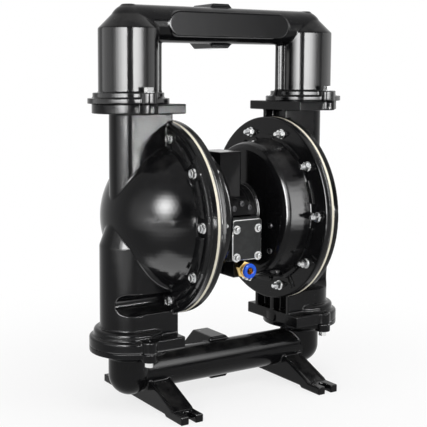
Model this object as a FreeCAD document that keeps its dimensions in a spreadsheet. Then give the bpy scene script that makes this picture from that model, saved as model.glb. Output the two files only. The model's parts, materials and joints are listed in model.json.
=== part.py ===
import FreeCAD, Part
import os
import re
import Sketcher

# Air-operated double diaphragm pump, in millimetres.
# X runs along the manifolds, Y from front to back, Z up; the feet stand on Z = 0.
# The left half lies at negative X, and the right half mirrors it.

doc = FreeCAD.newDocument("diaphragm_pump")
sheet = doc.addObject("Spreadsheet::Sheet", "Sizes")

SIZES = {
    # main places
    "column_x": 184,
    "mating_x": 118,
    "lower_joint_z": 106.5,
    "low_gap": 27,
    "top_gap": 12,
    "lower_pipe_z": 54.2,
    "pipe_rise": 130.4,
    "cut_over": 2,
    # chamber flanges
    "flange_radius": 164,
    "flange_thick": 12,
    "rim_thick": 10,
    "rim_width": 9,
    "rim_to_bolts": 22,
    "pad_tall": 1.2,
    "pad_wide": 20,
    "pad_start": 15,
    "pad_long": 29,
    "pad_rib": 2.4,
    # M8 fasteners
    "bolt_radius": 4,
    "hole_slack": 0.5,
    "thread_slack": 0.05,
    "head_across": 13,
    "head_tall": 6.5,
    "collar_radius": 8.7,
    "collar_tall": 1.6,
    "nut_tall": 8,
    "stud_over": 8,
    "washer_radius": 8.7,
    "washer_thick": 1.6,
    # fluid cap
    "dome_step": 9,
    "dome_x": 88,
    "cap_wall": 8,
    "upper_column": 32.4,
    "lower_column": 49.5,
    "taper_drop": 42,
    "taper_rise": 7,
    "upper_duct": 23,
    "lower_duct": 38,
    "plate_half": 72,
    "plate_radius": 60.5,
    "upper_plate": 16,
    "lower_plate": 19.5,
    "disc_radius": 67.5,
    "disc_thick": 17,
    "bead_radius": 60,
    "bead_tall": 30.5,
    "edge_round": 4,
    "bead_round": 6,
    "access_radius": 17.5,
    "pocket_half": 24,
    "pocket_deep": 16,
    "pocket_lap": 6,
    "web_half": 5,
    # joint bolts of the manifolds
    "ear_reach": 66,
    "ear_radius": 13.5,
    "ear_tall": 18,
    "low_ear_tall": 14.5,
    "joint_head": 9,
    # diaphragms
    "film_thick": 4.4,
    "backup_thick": 2.5,
    "roll_deep": 9,
    "roll_inner": 76,
    "roll_margin": 4,
    "roll_slope": 13,
    "film_hole": 10.1,
    "clamp_step": 21,
    # air cap
    "air_flange": 10.4,
    "drum_step": 15,
    "drum_slope": 7,
    "drum_end_x": 62,
    "drum_edge_x": 54.8,
    "drum_corner": 3.3,
    "face_step": 18,
    "face_x": 51,
    "hub_x": 46,
    "hub_radius": 48,
    "air_wall": 7,
    "spigot_radius": 24,
    "spigot_slack": 0.1,
    "spigot_x": 52,
    # centre body
    "gasket_thick": 1,
    "core_radius": 46,
    "core_middle": 43,
    "web_wide": 44,
    "web_deep": 64,
    "web_top": 107,
    "web_bottom": 103,
    "pad_half_wide": 33,
    "pad_top": 4,
    "pad_front": 44,
    "pad_low": 80,
    "boss_radius": 28.5,
    "boss_front": 60,
    "lug_half": 17,
    "lug_front": 66,
    "lug_low": 105,
    "exhaust_radius": 21,
    "exhaust_reach": 58,
    "exhaust_bore": 9,
    "exhaust_start": 18,
    "air_way": 4,
    "air_way_x": 12,
    "air_way_y": 34,
    # rod, plates and bushes
    "rod_radius": 10,
    "rod_room": 1,
    "bush_radius": 15,
    "bush_long": 18,
    "seal_long": 4,
    "fit_slack": 0.05,
    "press_slack": 0.02,
    "clamp_radius": 71,
    "outer_plate_thick": 10,
    "outer_hub_tall": 26,
    "outer_hub_radius": 22,
    "inner_plate_thick": 9,
    "plate_edge": 4,
    "rod_in_plate": 12,
    "rod_end_gap": 0.3,
    # check valves
    "ball_radius": 30,
    "ball_lift": 12,
    "seat_hole": 24,
    "seat_radius": 43.8,
    "seat_deep": 8,
    "seat_proud": 4,
    "seat_slack": 0.2,
    "ring_radius": 1.7,
    "groove_deep": 3.3,
    "groove_wide": 4,
    "throat_half": 20,
    "throat_long": 30,
    "seat_touch": 0.1,
    "stop_slack": 0.4,
    # discharge manifold
    "elbow_radius": 49.7,
    "elbow_cone": 39,
    "cone_drop": 8.4,
    "upper_pipe": 30.6,
    "collar_height": 9,
    "brim_radius": 59,
    "brim_height": 18,
    "rib_radius": 8,
    "rib_out": 54.7,
    "rib_flare": 13,
    "rib_flare_tall": 12,
    "panel_half_long": 103,
    "panel_half_tall": 21,
    "panel_front": 32,
    "pipe_bore": 25,
    # suction manifold
    "low_elbow": 35.3,
    "lower_pipe": 31.3,
    "saucer_thick": 9,
    "saucer_taper": 5,
    "saucer_neck": 48,
    "neck_taper": 8,
    # ports
    "port_corner": 41.1,
    "port_reach": 60,
    "port_ring": 36,
    "port_ring_long": 2,
    "port_bore": 28.3,
    "port_way": 24,
    "port_deep": 28,
    # feet
    "foot_x": 142,
    "foot_half": 21,
    "foot_reach": 131,
    "fork_tall": 13,
    "fork_flat": 101,
    "foot_top": 48,
    "foot_top_half": 24,
    "sole_rise": 3.5,
    "sole_inner": 82,
    "slot_half": 6.5,
    "slot_centre": 114.5,
    "foot_rib": 5.5,
    "floor_drop": 3,
    # air valve
    "valve_half": 32,
    "valve_low": 75,
    "valve_tall": 73,
    "valve_gasket": 1.5,
    "valve_deep": 27.5,
    "cover_thick": 8,
    "cover_inset": 1.5,
    "screw_x": 22.3,
    "screw_low": 67.5,
    "screw_high": 20,
    "screw_radius": 3,
    "screw_bite": 14,
    "screw_head": 5,
    "screw_head_tall": 6.5,
    "screw_collar": 7.5,
    "screw_collar_tall": 1.5,
    "spool_radius": 11,
    "spool_half": 19.5,
    "spool_waist": 7,
    "spool_land": 4,
    "plug_long": 6,
    "spool_drop": 44,
    "pilot_radius": 4,
    "pilot_half": 75,
    "pilot_up": 34,
    "pilot_cover": 4,
    # core screws
    "core_ring": 35.5,
    "core_depth": 11,
    "core_screw": 4,
    "core_head": 6.5,
    "core_head_tall": 8,
    # small screws
    "small_screw": 3,
    "small_head": 5,
    "small_head_tall": 3,
    "small_bite": 6,
    "face_screw_in": 30,
    "face_screw_high": 19,
    "face_screw_low": 63,
    "cover_screw_ring": 21,
    # muffler
    "muffler_radius": 20,
    "muffler_long": 52,
    "thread_radius": 12,
    "thread_long": 12,
    "muffler_groove": 2,
    # air inlet
    "inlet_drop": 91,
    "inlet_across": 26,
    "inlet_hex": 13,
    "inlet_nose": 11.2,
    "inlet_nose_long": 5,
    "inlet_thread": 9,
    "inlet_thread_long": 11,
    "inlet_way": 4,
    "collet_flange": 12.8,
    "collet_flange_thick": 6,
    "collet_neck": 8,
    "collet_long": 14,
    "collet_gap": 1.6,
    "collet_travel": 1.2,
    "tube_radius": 6.1,
}

DERIVED = {
    "axis_z": "lower_joint_z + lower_plate + low_gap + flange_radius",
    "upper_joint_z": "axis_z + flange_radius + top_gap + upper_plate",
    "upper_pipe_z": "upper_joint_z + pipe_rise",
    "cone_low_z": "upper_pipe_z - cone_drop",
    "taper_low_z": "axis_z - taper_drop",
    "taper_high_z": "axis_z + taper_rise",
    "bolt_ring": "flange_radius - rim_to_bolts",
    "pad_inner": "bolt_ring - pad_start",
    "dome_radius": "bolt_ring - dome_step",
    "drum_radius": "bolt_ring - drum_step",
    "drum_end_radius": "drum_radius - drum_slope",
    "drum_edge_radius": "drum_end_radius - drum_corner",
    "face_radius": "drum_radius - face_step",
    "face_screw_y": "face_radius - face_screw_in",
    "clamp_inner": "bolt_ring - clamp_step",
    "roll_outer": "clamp_inner - roll_margin",
    "film_x": "mating_x - film_thick",
    "air_cap_x": "film_x - backup_thick",
    "nut_x": "air_cap_x - air_flange",
    "spot_x": "mating_x + flange_thick + pad_tall",
    "cavity_x": "face_x + air_wall",
    "core_x": "hub_x - gasket_thick",
    "seat_thick": "seat_deep + seat_proud",
    "seat_out": "seat_radius + seat_slack",
    "ball_up": "sqrt(ball_radius * ball_radius - seat_hole * seat_hole) + seat_touch",
    "ball_stop": "sqrt(ball_radius * ball_radius - throat_half * throat_half)",
    "throat_up": "ball_up + ball_lift + ball_stop + stop_slack",
    "upper_plate_z": "upper_joint_z - upper_plate",
    "ear_top_z": "upper_joint_z + ear_tall",
    "low_ear_z": "lower_joint_z - low_ear_tall",
    "valve_back": "pad_front + valve_gasket",
    "cover_back": "valve_back + valve_deep",
    "valve_front": "cover_back + cover_thick",
    "inlet_z": "axis_z - inlet_drop",
    "hex_front": "lug_front + inlet_hex",
    "nose_front": "hex_front + inlet_nose_long",
    "spool_z": "axis_z - spool_drop",
    "spool_y": "valve_back + valve_deep / 2",
    "rod_half": "mating_x + rod_in_plate",
}

CHAMBER_BOLTS = 10
CORE_SCREWS = 4
RECESSED_BOLTS = 2
COVER_SCREW_ANGLES = (-50, 0, 50)
PORT_SIDES = 8
MUFFLER_RIBS = 5
FRONT_AND_REAR = (("front", "-"), ("rear", ""))
LEFT_AND_RIGHT = (("left", "-"), ("right", ""))
ACROSS = FreeCAD.Vector(1, 0, 0)
UPRIGHT = FreeCAD.Vector(0, 1, 0)
TURNS = {
    "Z": FreeCAD.Rotation(),
    "-Z": FreeCAD.Rotation(ACROSS, 180),
    "X": FreeCAD.Rotation(UPRIGHT, 90),
    "-X": FreeCAD.Rotation(UPRIGHT, -90),
    "Y": FreeCAD.Rotation(ACROSS, -90),
    "-Y": FreeCAD.Rotation(ACROSS, 90),
}

cells = list(SIZES.items()) + [(name, "=" + formula) for name, formula in DERIVED.items()]
for row, (name, content) in enumerate(cells, start=1):
    sheet.set(f"A{row}", name)
    sheet.set(f"B{row}", str(content))
    sheet.setAlias(f"B{row}", name)
NAMES = {name for name, content in cells}
WORK_CELL = "D1"
nodes = []
doc.recompute()


def number(formula):
    """What a formula of named sizes comes to, worked out by the sheet."""
    sheet.set(WORK_CELL, "=" + formula)
    sheet.recompute()
    return float(sheet.get(WORK_CELL))


def linked(formula):
    """A formula with each named size written as the expression engine reads it."""
    return re.sub("[a-z_]+", lambda word: "Sizes." + word[0] if word[0] in NAMES else word[0], formula)


def place(item, spot):
    """Binds the place of an object to three formulas."""
    for axis, formula in zip("xyz", spot):
        item.setExpression("Placement.Base." + axis, linked(formula))


def primitive(kind, name, spot, along="Z", **dims):
    """A Part primitive with its sizes and its place bound to the sheet."""
    item = doc.addObject("Part::" + kind, name)
    for prop, formula in dims.items():
        item.setExpression(prop, linked(formula))
    item.Placement.Rotation = TURNS[along]
    place(item, spot)
    return item


def cylinder(name, radius, height, spot, along="Z"):
    return primitive("Cylinder", name, spot, along, Radius=radius, Height=height)


def cone(name, start, end, height, spot, along="Z"):
    return primitive("Cone", name, spot, along, Radius1=start, Radius2=end, Height=height)


def box(name, long, deep, tall, spot):
    return primitive("Box", name, spot, Length=long, Width=deep, Height=tall)


def sphere(name, radius, spot):
    return primitive("Sphere", name, spot, Radius=radius)


def prism(name, sides, corner, height, spot, along="Z"):
    item = primitive("Prism", name, spot, along, Circumradius=corner, Height=height)
    item.Polygon = sides
    return item


def fuse(name, *items):
    joined = doc.addObject("Part::MultiFuse", name)
    joined.Shapes = list(items)
    joined.Refine = True
    return joined


def common(name, *items):
    shared = doc.addObject("Part::MultiCommon", name)
    shared.Shapes = list(items)
    return shared


def cut(name, base, *tools):
    result = doc.addObject("Part::Cut", name)
    result.Base = base
    result.Tool = tools[0] if len(tools) == 1 else fuse(name + "_tools", *tools)
    result.Refine = True
    return result


def compound(name, *items):
    group = doc.addObject("Part::Compound", name)
    group.Links = list(items)
    return group


def mirrored(name, source):
    """The right-hand twin of a left-hand shape."""
    twin = doc.addObject("Part::Mirroring", name)
    twin.Source = source
    twin.Normal = ACROSS
    return twin


def rounded_top(name, base, radius):
    """A primitive with its uppermost edges rounded."""
    doc.recompute()
    fillet = doc.addObject("Part::Fillet", name)
    fillet.Base = base
    top = base.Shape.BoundBox.ZMax - number("seat_touch")
    rims = [index for index, edge in enumerate(base.Shape.Edges, start=1) if edge.BoundBox.ZMin > top]
    fillet.Edges = [(index, number(radius), number(radius)) for index in rims]
    return fillet


def outline(body, name, role, points):
    """A closed sketch of straight runs on an origin plane; each point is a pair of formulas."""
    sketch = body.newObject("Sketcher::SketchObject", name)
    plane = [item for item in body.Origin.OriginFeatures if item.Role == role][0]
    sketch.AttachmentSupport = (plane, [""])
    sketch.MapMode = "FlatFace"
    spots = [FreeCAD.Vector(number(across), number(up), 0) for across, up in points]
    for start, end in zip(spots, spots[1:] + spots[:1]):
        sketch.addGeometry(Part.LineSegment(start, end))
    for index in range(len(spots)):
        follower = (index + 1) % len(spots)
        sketch.addConstraint(Sketcher.Constraint("Coincident", index, 2, follower, 1))
    for index, (pair, spot) in enumerate(zip(points, spots)):
        for kind, formula, value in zip(("DistanceX", "DistanceY"), pair, spot):
            held = sketch.addConstraint(Sketcher.Constraint(kind, index, 1, value))
            if re.search("[a-z]", formula):
                sketch.setExpression(f"Constraints[{held}]", linked(formula))
    return sketch


def turned(name, points, axis="H_Axis", spot=("0", "0", "axis_z")):
    """A body turned from a half profile about one of the sketch's own axes."""
    body = doc.addObject("PartDesign::Body", name)
    profile = outline(body, name + "_profile", "XZ_Plane", points)
    turn = body.newObject("PartDesign::Revolution", name + "_turn")
    turn.Profile = (profile, [""])
    turn.ReferenceAxis = (profile, [axis])
    turn.Angle = 360
    place(body, spot)
    return body


def extruded(name, role, points, length, spot=("0", "0", "0")):
    """A body padded both ways from a profile on an origin plane."""
    body = doc.addObject("PartDesign::Body", name)
    profile = outline(body, name + "_profile", role, points)
    pad = body.newObject("PartDesign::Pad", name + "_pad")
    pad.Profile = (profile, [""])
    pad.Midplane = True
    pad.setExpression("Length", linked(length))
    place(body, spot)
    return body


def around_axis(angle, across, out):
    """Y and Z formulas of a point turned about the chamber axis by an angle from straight up."""
    y = f"({across}) * cos({angle}) - ({out}) * sin({angle})"
    z = f"({across}) * sin({angle}) + ({out}) * cos({angle}) + axis_z"
    return y, z


def bolt_angles():
    """The chamber bolts' angles from straight up; the first bolt faces the front."""
    return [90 + 360 / CHAMBER_BOLTS * index for index in range(CHAMBER_BOLTS)]


def lowest_angles():
    """The angles of the lowest chamber bolts, which the column would hide from a socket."""
    return sorted(bolt_angles(), key=lambda angle: abs(angle - 180))[:RECESSED_BOLTS]


def core_angles():
    return [45 + 360 / CORE_SCREWS * index for index in range(CORE_SCREWS)]


def node(item, label):
    """Keeps an object as one of the separate pieces, under its own label."""
    item.Label = label
    nodes.append(item)
    return item


def chamber_holes(name, start, length):
    """The ring of bolt holes through a chamber flange of the left half."""
    holes = []
    for index, angle in enumerate(bolt_angles()):
        y, z = around_axis(angle, "0", "bolt_ring")
        holes.append(cylinder(f"{name}_{index}", "bolt_radius + hole_slack", length, (start, y, z), "X"))
    return fuse(name, *holes)


# Fluid caps


def column_solids():
    """The duct column: a narrow upper run, a wide lower run and the taper between them."""
    flat_long = "column_x - mating_x"
    return [
        cylinder("upper_round", "upper_column", "upper_joint_z - axis_z", ("-column_x", "0", "axis_z")),
        box("upper_flat", flat_long, "2 * upper_column", "upper_joint_z - axis_z",
            ("-column_x", "-upper_column", "axis_z")),
        cylinder("lower_round", "lower_column", "taper_low_z - lower_joint_z",
                 ("-column_x", "0", "lower_joint_z")),
        box("lower_flat", flat_long, "2 * lower_column", "taper_low_z - lower_joint_z",
            ("-column_x", "-lower_column", "lower_joint_z")),
        cone("column_taper", "lower_column", "upper_column", "taper_high_z - taper_low_z",
             ("-column_x", "0", "taper_low_z")),
    ]


def end_plates():
    """The flange plates at both ends of the column, with their ears, disc and bead."""
    solids = []
    for end, tall, base in (("top", "upper_plate", "upper_plate_z"), ("foot", "lower_plate", "lower_joint_z")):
        solids.append(box(f"plate_{end}", "column_x - mating_x", "2 * plate_half", tall,
                          ("-column_x", "-plate_half", base)))
        solids.append(cylinder(f"plate_round_{end}", "plate_radius", tall, ("-column_x", "0", base)))
        for row, sign in FRONT_AND_REAR:
            solids.append(cylinder(f"plate_ear_{end}_{row}", "ear_radius", tall,
                                   ("-column_x", f"{sign}ear_reach", base)))
    disc = cylinder("foot_disc", "disc_radius", "disc_thick", ("-column_x", "0", "lower_joint_z"))
    bead = cylinder("foot_bead", "bead_radius", "bead_tall", ("-column_x", "0", "lower_joint_z"))
    solids.append(rounded_top("foot_disc_round", disc, "edge_round"))
    solids.append(rounded_top("foot_bead_round", bead, "bead_round"))
    return solids


def bolt_pads():
    """A raised spot face under each chamber bolt head, with two small ribs beside it."""
    solids = []
    for index, angle in enumerate(bolt_angles()):
        for part, across, wide in (("pad", "-pad_wide / 2", "pad_wide"),
                                   ("near_rib", "pad_wide / 2 + pad_rib", "pad_rib"),
                                   ("far_rib", "pad_wide / 2 + 3 * pad_rib", "pad_rib")):
            y, z = around_axis(angle, across, "pad_inner")
            pad = box(f"{part}_{index}", "pad_tall + cut_over", wide, "pad_long", ("-spot_x", y, z))
            pad.Placement.Rotation = FreeCAD.Rotation(ACROSS, angle)
            solids.append(pad)
    return solids


def socket_recesses():
    """Round recesses along the column's sides that let a socket reach the lowest bolts."""
    tools = []
    for index, angle in enumerate(lowest_angles()):
        y, z = around_axis(angle, "0", "bolt_ring")
        tools.append(cylinder(f"recess_{index}", "access_radius", "column_x", ("-spot_x", y, z), "-X"))
    return tools


def plate_pockets():
    """Cored pockets in the column's inner face, above and below the chamber flange."""
    top_base = "axis_z + flange_radius - pocket_lap"
    low_base = "lower_joint_z + lower_plate"
    low_tall = f"axis_z - flange_radius + pocket_lap - ({low_base})"
    half = "lower_column - cap_wall - web_half"
    tools = [box("upper_pocket", "pocket_deep", "2 * pocket_half", f"upper_plate_z - ({top_base})",
                 ("-mating_x - pocket_deep", "-pocket_half", top_base))]
    for row, start in (("front", "cap_wall - lower_column"), ("rear", "web_half")):
        tools.append(box(f"lower_pocket_{row}", "pocket_deep", half, low_tall,
                         ("-mating_x - pocket_deep", start, low_base)))
    return tools


def tapped_holes():
    """Tapped holes for the manifold bolts, through both end plates."""
    tools = []
    for end, tall, base in (("top", "upper_plate", "upper_plate_z"), ("foot", "lower_plate", "lower_joint_z")):
        for row, sign in FRONT_AND_REAR:
            tools.append(cylinder(f"tapped_{end}_{row}", "bolt_radius + thread_slack", tall,
                                  ("-column_x", f"{sign}ear_reach", base)))
    return tools


def ball_room(name, base, top):
    """The left-hand room over a seat: a round cage, then a slot that the ball cannot pass."""
    cage = cylinder(name + "_cage", "lower_duct", "throat_up", ("-column_x", "0", base))
    throat = box(name + "_throat", "2 * throat_long", "2 * throat_half", f"{top} - ({base})",
                 ("-column_x - throat_long", "-throat_half", base))
    return [cage, throat]


def fluid_cap():
    """The left fluid cap: a domed chamber half with the duct column grown into it."""
    reach = ("-mating_x - dome_radius", "0", "axis_z")
    rim = cylinder("cap_rim", "flange_radius", "rim_thick", ("-mating_x - rim_thick", "0", "axis_z"), "X")
    face = cylinder("cap_face", "flange_radius - rim_width", "flange_thick",
                    ("-mating_x - flange_thick", "0", "axis_z"), "X")
    dome = common("cap_dome", sphere("cap_ball", "dome_radius", ("-dome_x", "0", "axis_z")),
                  cylinder("cap_reach", "flange_radius", "dome_radius", reach, "X"))
    outer = fuse("cap_outer", rim, face, dome, *column_solids(), *end_plates(), *bolt_pads())
    chamber = common("cap_chamber", sphere("chamber_ball", "dome_radius - cap_wall", ("-dome_x", "0", "axis_z")),
                     cylinder("chamber_reach", "flange_radius", "dome_radius", reach, "X"))
    tools = [
        chamber,
        cylinder("upper_bore", "upper_duct", "upper_joint_z - axis_z", ("-column_x", "0", "axis_z")),
        cylinder("upper_seat_room", "seat_out", "seat_deep", ("-column_x", "0", "upper_joint_z - seat_deep")),
        cylinder("lower_seat_room", "seat_out", "seat_proud", ("-column_x", "0", "lower_joint_z")),
        chamber_holes("cap_holes", "-spot_x - cut_over", "flange_thick + pad_tall + 2 * cut_over"),
    ]
    tools += ball_room("lower_ball", "lower_joint_z + seat_proud", "taper_low_z")
    tools += socket_recesses() + plate_pockets() + tapped_holes()
    left = node(cut("left_cap", outer, *tools), "left_fluid_cap")
    node(mirrored("right_cap", left), "right_fluid_cap")


# Air caps and centre body


def core_holes(name, radius, start, length):
    """Holes on the core's screw circle, along X."""
    holes = []
    for index, angle in enumerate(core_angles()):
        y, z = around_axis(angle, "0", "core_ring")
        holes.append(cylinder(f"{name}_{index}", radius, length, (start, y, z), "X"))
    return holes


def air_cap():
    """The left air cap: a turned drum with its flange, hub and thin wall."""
    drum = turned("air_drum", [
        ("-air_cap_x", "clamp_inner"),
        ("-air_cap_x", "flange_radius"),
        ("-nut_x", "flange_radius"),
        ("-nut_x", "drum_radius"),
        ("-drum_end_x", "drum_end_radius"),
        ("-drum_edge_x", "drum_edge_radius"),
        ("-face_x", "face_radius"),
        ("-face_x", "hub_radius"),
        ("-hub_x", "hub_radius"),
        ("-hub_x", "spigot_radius + spigot_slack"),
        ("-cavity_x", "spigot_radius + spigot_slack"),
        ("-cavity_x", "face_radius - air_wall"),
        ("-drum_end_x - air_wall / 2", "drum_end_radius - air_wall"),
        ("-air_cap_x + air_wall", "clamp_inner - air_wall / 2"),
    ])
    wall_start = "-cavity_x - cut_over"
    wall = "cavity_x - hub_x + 2 * cut_over"
    tools = [
        chamber_holes("air_holes", "-air_cap_x - cut_over", "air_flange + 2 * cut_over"),
        cylinder("air_pilot_hole", "pilot_radius + hole_slack", wall, (wall_start, "0", "axis_z + pilot_up"), "X"),
        cylinder("air_charge_way", "air_way", wall, (wall_start, "-air_way_y", "axis_z"), "X"),
    ]
    tools += core_holes("air_core", "core_screw + hole_slack", wall_start, wall)
    for row, drop in (("high", "face_screw_high"), ("low", "face_screw_low")):
        tools.append(cylinder(f"face_tap_{row}", "small_screw + thread_slack", "small_bite",
                              ("-face_x - small_bite", "-face_screw_y", f"axis_z - {drop}"), "X"))
    left = node(cut("left_air", drum, *tools), "left_air_cap")
    node(mirrored("right_air", left), "right_air_cap")


def cover_screw_spots():
    """X and Z formulas of the screws that hold the pilot cover."""
    return [(f"cover_screw_ring * sin({angle})", f"axis_z + cover_screw_ring * cos({angle})")
            for angle in COVER_SCREW_ANGLES]


def centre_ways():
    """The bores of the centre body that lie on its middle plane."""
    return [
        cylinder("rod_way", "rod_radius + rod_room", "2 * spigot_x", ("-spigot_x", "0", "axis_z"), "X"),
        cylinder("pilot_way", "pilot_radius + fit_slack", "2 * core_x", ("-core_x", "0", "axis_z + pilot_up"), "X"),
        cylinder("exhaust_way", "exhaust_bore", "exhaust_reach - exhaust_start",
                 ("0", "exhaust_start", "axis_z"), "Y"),
        cylinder("exhaust_thread", "thread_radius + thread_slack", "thread_long",
                 ("0", "exhaust_reach - thread_long", "axis_z"), "Y"),
        cylinder("inlet_tap", "inlet_thread + thread_slack", "inlet_thread_long + cut_over",
                 ("0", "-lug_front", "inlet_z"), "Y"),
        cylinder("inlet_run", "air_way", "lug_front - air_way_y", ("0", "-lug_front", "inlet_z"), "Y"),
        cylinder("inlet_rise", "air_way", "spool_z - inlet_z", ("0", "-air_way_y", "inlet_z")),
        cylinder("inlet_port", "air_way", "pad_front - air_way_y", ("0", "-pad_front", "spool_z"), "Y"),
        box("valve_clear", "2 * pad_half_wide", "boss_front", "boss_radius + cut_over",
            ("-pad_half_wide", "-pad_front - boss_front", "axis_z - boss_radius - cut_over")),
    ]


def side_ways(side, sign):
    """The bores of the centre body that each side has for itself."""
    bush_start = "-spigot_x" if sign else "spigot_x - bush_long - seal_long"
    tap_start = "-core_x" if sign else "core_x - core_depth"
    tools = [
        cylinder(f"bush_room_{side}", "bush_radius + press_slack", "bush_long + seal_long",
                 (bush_start, "0", "axis_z"), "X"),
        cylinder(f"charge_rise_{side}", "air_way", "axis_z - spool_z",
                 (f"{sign}air_way_x", "-air_way_y", "spool_z")),
        cylinder(f"charge_port_{side}", "air_way", "pad_front - air_way_y",
                 (f"{sign}air_way_x", "-pad_front", "spool_z"), "Y"),
        cylinder(f"charge_way_{side}", "air_way", "core_x - air_way_x",
                 (f"{sign}air_way_x", "-air_way_y", "axis_z"), f"{sign}X"),
    ]
    tools += core_holes(f"core_tap_{side}", "core_screw + thread_slack", tap_start, "core_depth")
    for row, drop in (("high", "screw_high"), ("low", "screw_low")):
        tools.append(cylinder(f"valve_tap_{side}_{row}", "screw_radius + thread_slack", "screw_bite",
                              (f"{sign}screw_x", "-pad_front", f"axis_z - {drop}"), "Y"))
    return tools


def centre_body():
    """The body between the air caps: core, web, valve pad, inlet lug and exhaust boss."""
    solids = [
        cylinder("core", "core_middle", "2 * core_x", ("-core_x", "0", "axis_z"), "X"),
        cylinder("core_disc_left", "core_radius", "core_x - pad_half_wide", ("-core_x", "0", "axis_z"), "X"),
        cylinder("core_disc_right", "core_radius", "core_x - pad_half_wide", ("pad_half_wide", "0", "axis_z"), "X"),
        cylinder("spigots", "spigot_radius", "2 * spigot_x", ("-spigot_x", "0", "axis_z"), "X"),
        box("web", "web_wide", "web_deep", "web_top + web_bottom",
            ("-web_wide / 2", "-web_deep / 2", "axis_z - web_bottom")),
        box("valve_pad", "2 * pad_half_wide", "pad_front", "pad_top + pad_low",
            ("-pad_half_wide", "-pad_front", "axis_z - pad_low")),
        cylinder("pilot_boss", "boss_radius", "boss_front", ("0", "0", "axis_z"), "-Y"),
        box("inlet_lug", "2 * lug_half", "lug_front", "lug_low - valve_low",
            ("-lug_half", "-lug_front", "axis_z - lug_low")),
        cylinder("exhaust_boss", "exhaust_radius", "exhaust_reach", ("0", "0", "axis_z"), "Y"),
    ]
    tools = centre_ways()
    for side, sign in LEFT_AND_RIGHT:
        tools += side_ways(side, sign)
    for index, (x, z) in enumerate(cover_screw_spots()):
        tools.append(cylinder(f"cover_tap_{index}", "small_screw + thread_slack", "small_bite",
                              (x, "-boss_front", z), "Y"))
    node(cut("centre", fuse("centre_outer", *solids), *tools), "centre_body")


def pilot_cover():
    """The half-round plate over the pilot boss, above the valve."""
    disc = cylinder("cover_disc", "boss_radius", "pilot_cover", ("0", "-boss_front", "axis_z"), "-Y")
    half = box("cover_half", "2 * boss_radius", "boss_front", "boss_radius",
               ("-boss_radius", "-boss_front - pilot_cover", "axis_z + hole_slack"))
    holes = [cylinder(f"cover_hole_{index}", "small_screw + thread_slack", "pilot_cover",
                      (x, "-boss_front", z), "-Y") for index, (x, z) in enumerate(cover_screw_spots())]
    node(cut("pilot_plate", common("cover_plate", disc, half), *holes), "pilot_cover")


def centre_gaskets():
    """The two flat gaskets between the centre body and the air caps."""
    inner = "spigot_radius + spigot_slack"
    start = "-hub_x - cut_over"
    thick = "gasket_thick + 2 * cut_over"
    ring = turned("gasket_ring", [("-hub_x", inner), ("-hub_x", "core_radius"),
                                  ("-core_x", "core_radius"), ("-core_x", inner)])
    tools = core_holes("gasket_hole", "core_screw + hole_slack", start, thick)
    tools.append(cylinder("gasket_pilot", "pilot_radius + hole_slack", thick,
                          (start, "0", "axis_z + pilot_up"), "X"))
    tools.append(cylinder("gasket_way", "air_way", thick, (start, "-air_way_y", "axis_z"), "X"))
    left = cut("gasket_left", ring, *tools)
    node(compound("gasket_pair", left, mirrored("gasket_right", left)), "centre_gaskets")


# Diaphragms, plates and rod


def film_profile(start, thick):
    """A disc profile with one shallow roll toward the centre, from its outer face's distance."""
    rise = [("film_hole", "0"), ("roll_inner", "0"), ("roll_inner + roll_slope", "roll_deep"),
            ("roll_outer - roll_slope", "roll_deep"), ("roll_outer", "0"), ("flange_radius", "0")]
    outer = [(f"-{start} + {deep}", radius) for radius, deep in rise]
    inner = [(f"-{start} + {thick} + {deep}", radius) for radius, deep in reversed(rise)]
    return outer + inner


def diaphragms():
    """On each side a fluid-side diaphragm over a thinner backup diaphragm."""
    for name, start, thick in (("diaphragm", "mating_x", "film_thick"),
                               ("backup_diaphragm", "film_x", "backup_thick")):
        disc = turned(name + "_disc", film_profile(start, thick))
        holes = chamber_holes(name + "_holes", f"-{start} - cut_over", f"{thick} + 2 * cut_over")
        left = node(cut("left_cut_" + name, disc, holes), "left_" + name)
        node(mirrored("right_cut_" + name, left), "right_" + name)


def clamp_plates():
    """The outer plates screwed on the rod and the inner plates behind the diaphragms."""
    bore = "rod_radius + press_slack"
    outer = turned("outer_plate_body", [
        ("-mating_x", bore),
        ("-mating_x", "clamp_radius"),
        ("-mating_x - plate_edge", "clamp_radius"),
        ("-mating_x - outer_plate_thick", "clamp_radius - plate_edge"),
        ("-mating_x - outer_plate_thick - plate_edge", "outer_hub_radius + plate_edge"),
        ("-mating_x - outer_hub_tall + plate_edge", "outer_hub_radius"),
        ("-mating_x - outer_hub_tall", "outer_hub_radius - plate_edge"),
        ("-mating_x - outer_hub_tall", "0"),
        ("-rod_half - rod_end_gap", "0"),
        ("-rod_half - rod_end_gap", bore),
    ])
    inner = turned("inner_plate_body", [
        ("-air_cap_x", bore),
        ("-air_cap_x", "clamp_radius"),
        ("-air_cap_x + plate_edge", "clamp_radius"),
        ("-air_cap_x + inner_plate_thick", "clamp_radius - plate_edge"),
        ("-air_cap_x + inner_plate_thick", bore),
    ])
    for plate, name in ((outer, "outer_plate"), (inner, "inner_plate")):
        left = node(plate, "left_" + name)
        node(mirrored("right_body_" + name, left), "right_" + name)


def rod_and_bushes():
    """The diaphragm rod, its two bushes and seals, and the pilot rod."""
    node(cylinder("rod", "rod_radius", "2 * rod_half", ("-rod_half", "0", "axis_z"), "X"), "diaphragm_rod")
    rings = (("bush", "-spigot_x + seal_long", "bush_long", "fit_slack", "rod_bushes"),
             ("seal", "-spigot_x", "seal_long", "press_slack", "rod_seals"))
    for name, start, long, slack, label in rings:
        bore = f"rod_radius + {slack}"
        ring = turned(name + "_ring", [(start, bore), (start, "bush_radius"),
                                       (f"{start} + {long}", "bush_radius"), (f"{start} + {long}", bore)])
        node(compound(name + "_pair", ring, mirrored(name + "_twin", ring)), label)
    node(cylinder("pilot", "pilot_radius", "2 * pilot_half", ("-pilot_half", "0", "axis_z + pilot_up"), "X"),
         "pilot_rod")


# Check valves


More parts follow.
